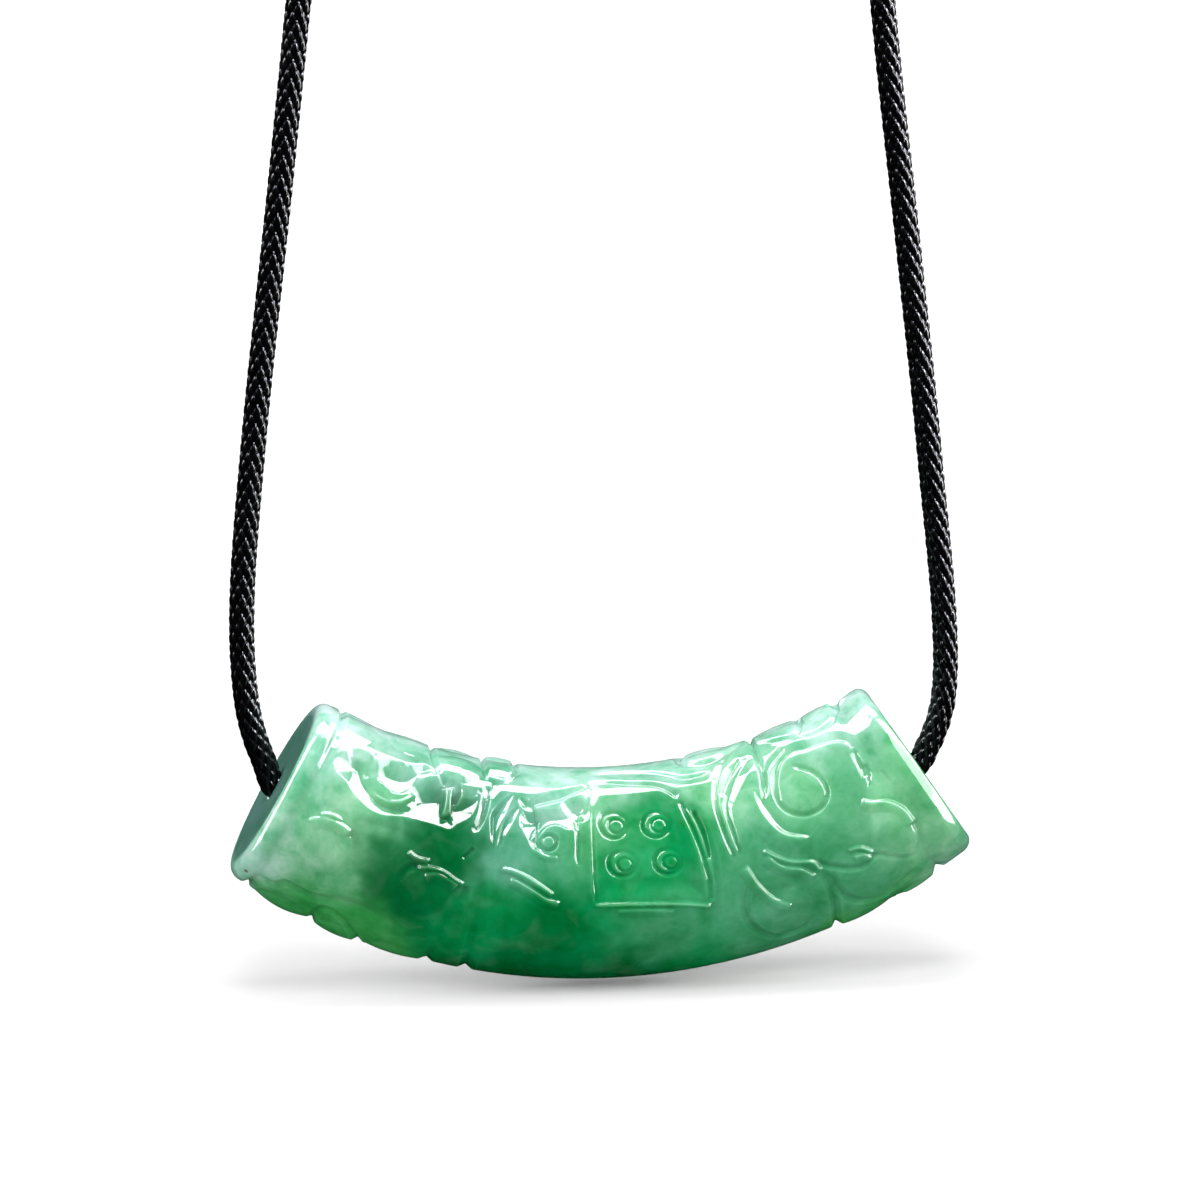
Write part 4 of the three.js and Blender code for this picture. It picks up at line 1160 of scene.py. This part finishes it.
def make_stage():
    scene = bpy.context.scene
    scene.view_settings.view_transform = "Standard"
    scene.view_settings.look = "None"
    scene.view_settings.exposure = 0.0
    scene.view_settings.gamma = 1.0

    half = 1.8
    floor = new_mesh("floor", np.array([(-half, -half, 0), (half, -half, 0), (half, half, 0), (-half, half, 0)]) * 1000.0, [(0, 1, 2, 3)])
    floor.location = (0.0, 0.0, FLOOR_Z)
    m, nt, p = material("floor")
    p.inputs["Base Color"].default_value = (0.12, 0.12, 0.12, 1.0)
    p.inputs["Roughness"].default_value = 0.9
    p.inputs["Specular IOR Level"].default_value = 0.0
    p.inputs["Emission Color"].default_value = (1.0, 1.0, 1.0, 1.0)
    p.inputs["Emission Strength"].default_value = 0.02
    floor.data.materials.append(m)
    floor.visible_glossy = False
    floor.visible_diffuse = False

    # white paper all round, for the eye only
    rings, around = 24, 48
    el = np.linspace(-90.0, 90.0, rings + 1) * DEG
    az = np.arange(around) / around * 2 * math.pi
    sphere = np.stack([np.cos(el)[:, None] * np.cos(az), np.cos(el)[:, None] * np.sin(az), np.sin(el)[:, None] * np.ones(around)], -1)
    idx = np.arange((rings + 1) * around).reshape(rings + 1, around)
    quads = np.stack([idx[:-1], np.roll(idx[:-1], -1, 1), np.roll(idx[1:], -1, 1), idx[1:]], -1).reshape(-1, 4)
    paper = new_mesh("paper", sphere.reshape(-1, 3) * 2600.0, quads.tolist())
    m, nt, p = material("paper")
    nt.nodes.remove(p)
    glow = node(nt, "ShaderNodeEmission")
    glow.inputs["Strength"].default_value = 1.05
    nt.links.new(glow.outputs[0], nt.nodes["Material Output"].inputs["Surface"])
    paper.data.materials.append(m)
    paper.visible_diffuse = paper.visible_glossy = paper.visible_transmission = paper.visible_shadow = False
    paper.visible_volume_scatter = False

    # soft sky light: full from above, less from the sides, hardly any from below
    world = bpy.data.worlds.new("surround")
    scene.world = world
    world.use_nodes = True
    nt = world.node_tree
    bg = nt.nodes["Background"]
    direction = nt.nodes.new("ShaderNodeTexCoord").outputs["Generated"]
    split = nt.nodes.new("ShaderNodeSeparateXYZ")
    nt.links.new(direction, split.inputs[0])
    nt.links.new(ranged(nt, split.outputs["Z"], -0.15, 0.55, SKY_LOW, SKY_HIGH), bg.inputs["Strength"])
    bg.inputs["Color"].default_value = (1.0, 1.0, 1.0, 1.0)
    world.cycles_visibility.glossy = False

    sun = bpy.data.lights.new("sun", "SUN")
    sun.energy = SUN
    sun.angle = 55 * DEG
    sun_obj = bpy.data.objects.new("sun", sun)
    scene.collection.objects.link(sun_obj)
    sun_obj.rotation_euler = Vector((0.0, 0.40, -0.90)).to_track_quat("-Z", "Y").to_euler()
    sun_obj.visible_glossy = False

    # the floor is lit by itself, mostly low from the front, so that only what lies near it throws a shadow
    ground = bpy.data.collections.new("ground")
    ground.objects.link(floor)
    rest = bpy.data.collections.new("all_but_ground")
    rest.objects.link(floor)
    rest.collection_objects[0].light_linking.link_state = "EXCLUDE"
    sun_obj.light_linking.receiver_collection = rest
    for i, (turn, up, share) in enumerate(((0, 12, 0.05), (0, 30, 0.08), (0, 55, 0.12), (-45, 12, 0.05), (45, 12, 0.05), (-45, 30, 0.05), (45, 30, 0.05), (-85, 12, 0.12), (85, 12, 0.09),
                                           (-85, 30, 0.05), (85, 30, 0.04), (-135, 20, 0.08), (135, 20, 0.07), (180, 30, 0.03), (0, 84, 0.10))):
        low = bpy.data.lights.new("low_%d" % i, "SUN")
        low.energy = FLOOR_LIGHT * share / math.sin(up * DEG)
        low.angle = 20 * DEG
        obj = bpy.data.objects.new(low.name, low)
        scene.collection.objects.link(obj)
        way = Vector((-math.sin(turn * DEG) * math.cos(up * DEG), math.cos(turn * DEG) * math.cos(up * DEG), -math.sin(up * DEG)))
        obj.rotation_euler = way.to_track_quat("-Z", "Y").to_euler()
        obj.visible_glossy = False
        obj.light_linking.receiver_collection = ground

    # an arch of soft light over the object, from its left to its right, a little behind it
    for i, (roll, share) in enumerate(((-82, 0.7), (-41, 1.0), (0, 1.0), (41, 1.0), (82, 0.7))):
        r, back = roll * DEG, 14 * DEG
        d = np.array([math.sin(r), math.cos(r) * math.sin(back), math.cos(r) * math.cos(back)])
        arch_light("arch_%d" % i, d, 0.7, 0.54, 0.3, 15.0 * share)
    arch_light("right_side", np.array([0.853, -0.15, 0.5]), 0.7, 0.8, 0.36, 8.0)


# ---------------------------------------------------------------------------
# assembly
# ---------------------------------------------------------------------------
make_camera()
make_stage()

jade = jade_material()
cord_mat = cord_material("braided_cord", 0.24)
knot_mat = cord_material("knotted_cord", 0.32)

stone = make_stone()
stone.data.materials.append(jade)
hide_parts("jade_tube")
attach(stone, "tube")

for side, name, node_name in ((-1, "left_stopper", "left_stop_knot"), (1, "right_stopper", "right_stop_knot")):
    k = make_stopper(side, name)
    k.data.materials.append(knot_mat)
    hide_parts(node_name)
    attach(k, "loop")

slider = make_slider("sliding_knot")
slider.data.materials.append(knot_mat)
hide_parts("slide_knot")
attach(slider, "slider")

# the cord takes its gloss from lights of its own instead of the one low on the left
shaded, lit = bpy.data.collections.new("all_but_cord"), bpy.data.collections.new("cord_only")
for side, name, nodes in ((-1, "left_braid", ("left_cord", "cord_in_bore")), (1, "right_braid", ("right_cord", "cord_in_bore"))):
    path = strand_path(side)
    obj, used = tube_mesh(name, path, 0.985, ring=84, step=0.128, relief=0.27, pitch=1.5, carriers=7, folds=6)
    obj.data.materials.append(cord_mat)
    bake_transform(obj)
    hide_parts(*nodes)
    line = (used[::8] + SHIFT) * MM
    if np.linalg.norm(line[-1] - (used[-1] + SHIFT) * MM) > 1e-6:
        line = np.concatenate([line, [(used[-1] + SHIFT) * MM]])
    shaded.objects.link(obj)
    lit.objects.link(obj)
for entry in shaded.collection_objects:
    entry.light_linking.link_state = "EXCLUDE"
bpy.data.objects["arch_0"].light_linking.receiver_collection = shaded
for name, way, width, depth, radiance in (("cord_right", (0.9, -0.1, 0.42), 0.26, 0.26, 46.0), ("cord_front", (0.1, -0.765, 0.634), 0.18, 0.18, 44.0), ("cord_left", (-0.9, -0.05, 0.42), 0.3, 0.3, 2.0)):
    own = arch_light(name, np.array(way), 0.7, width, depth, radiance)
    own.data.color = (0.82, 0.85, 1.0)
    own.light_linking.receiver_collection = lit
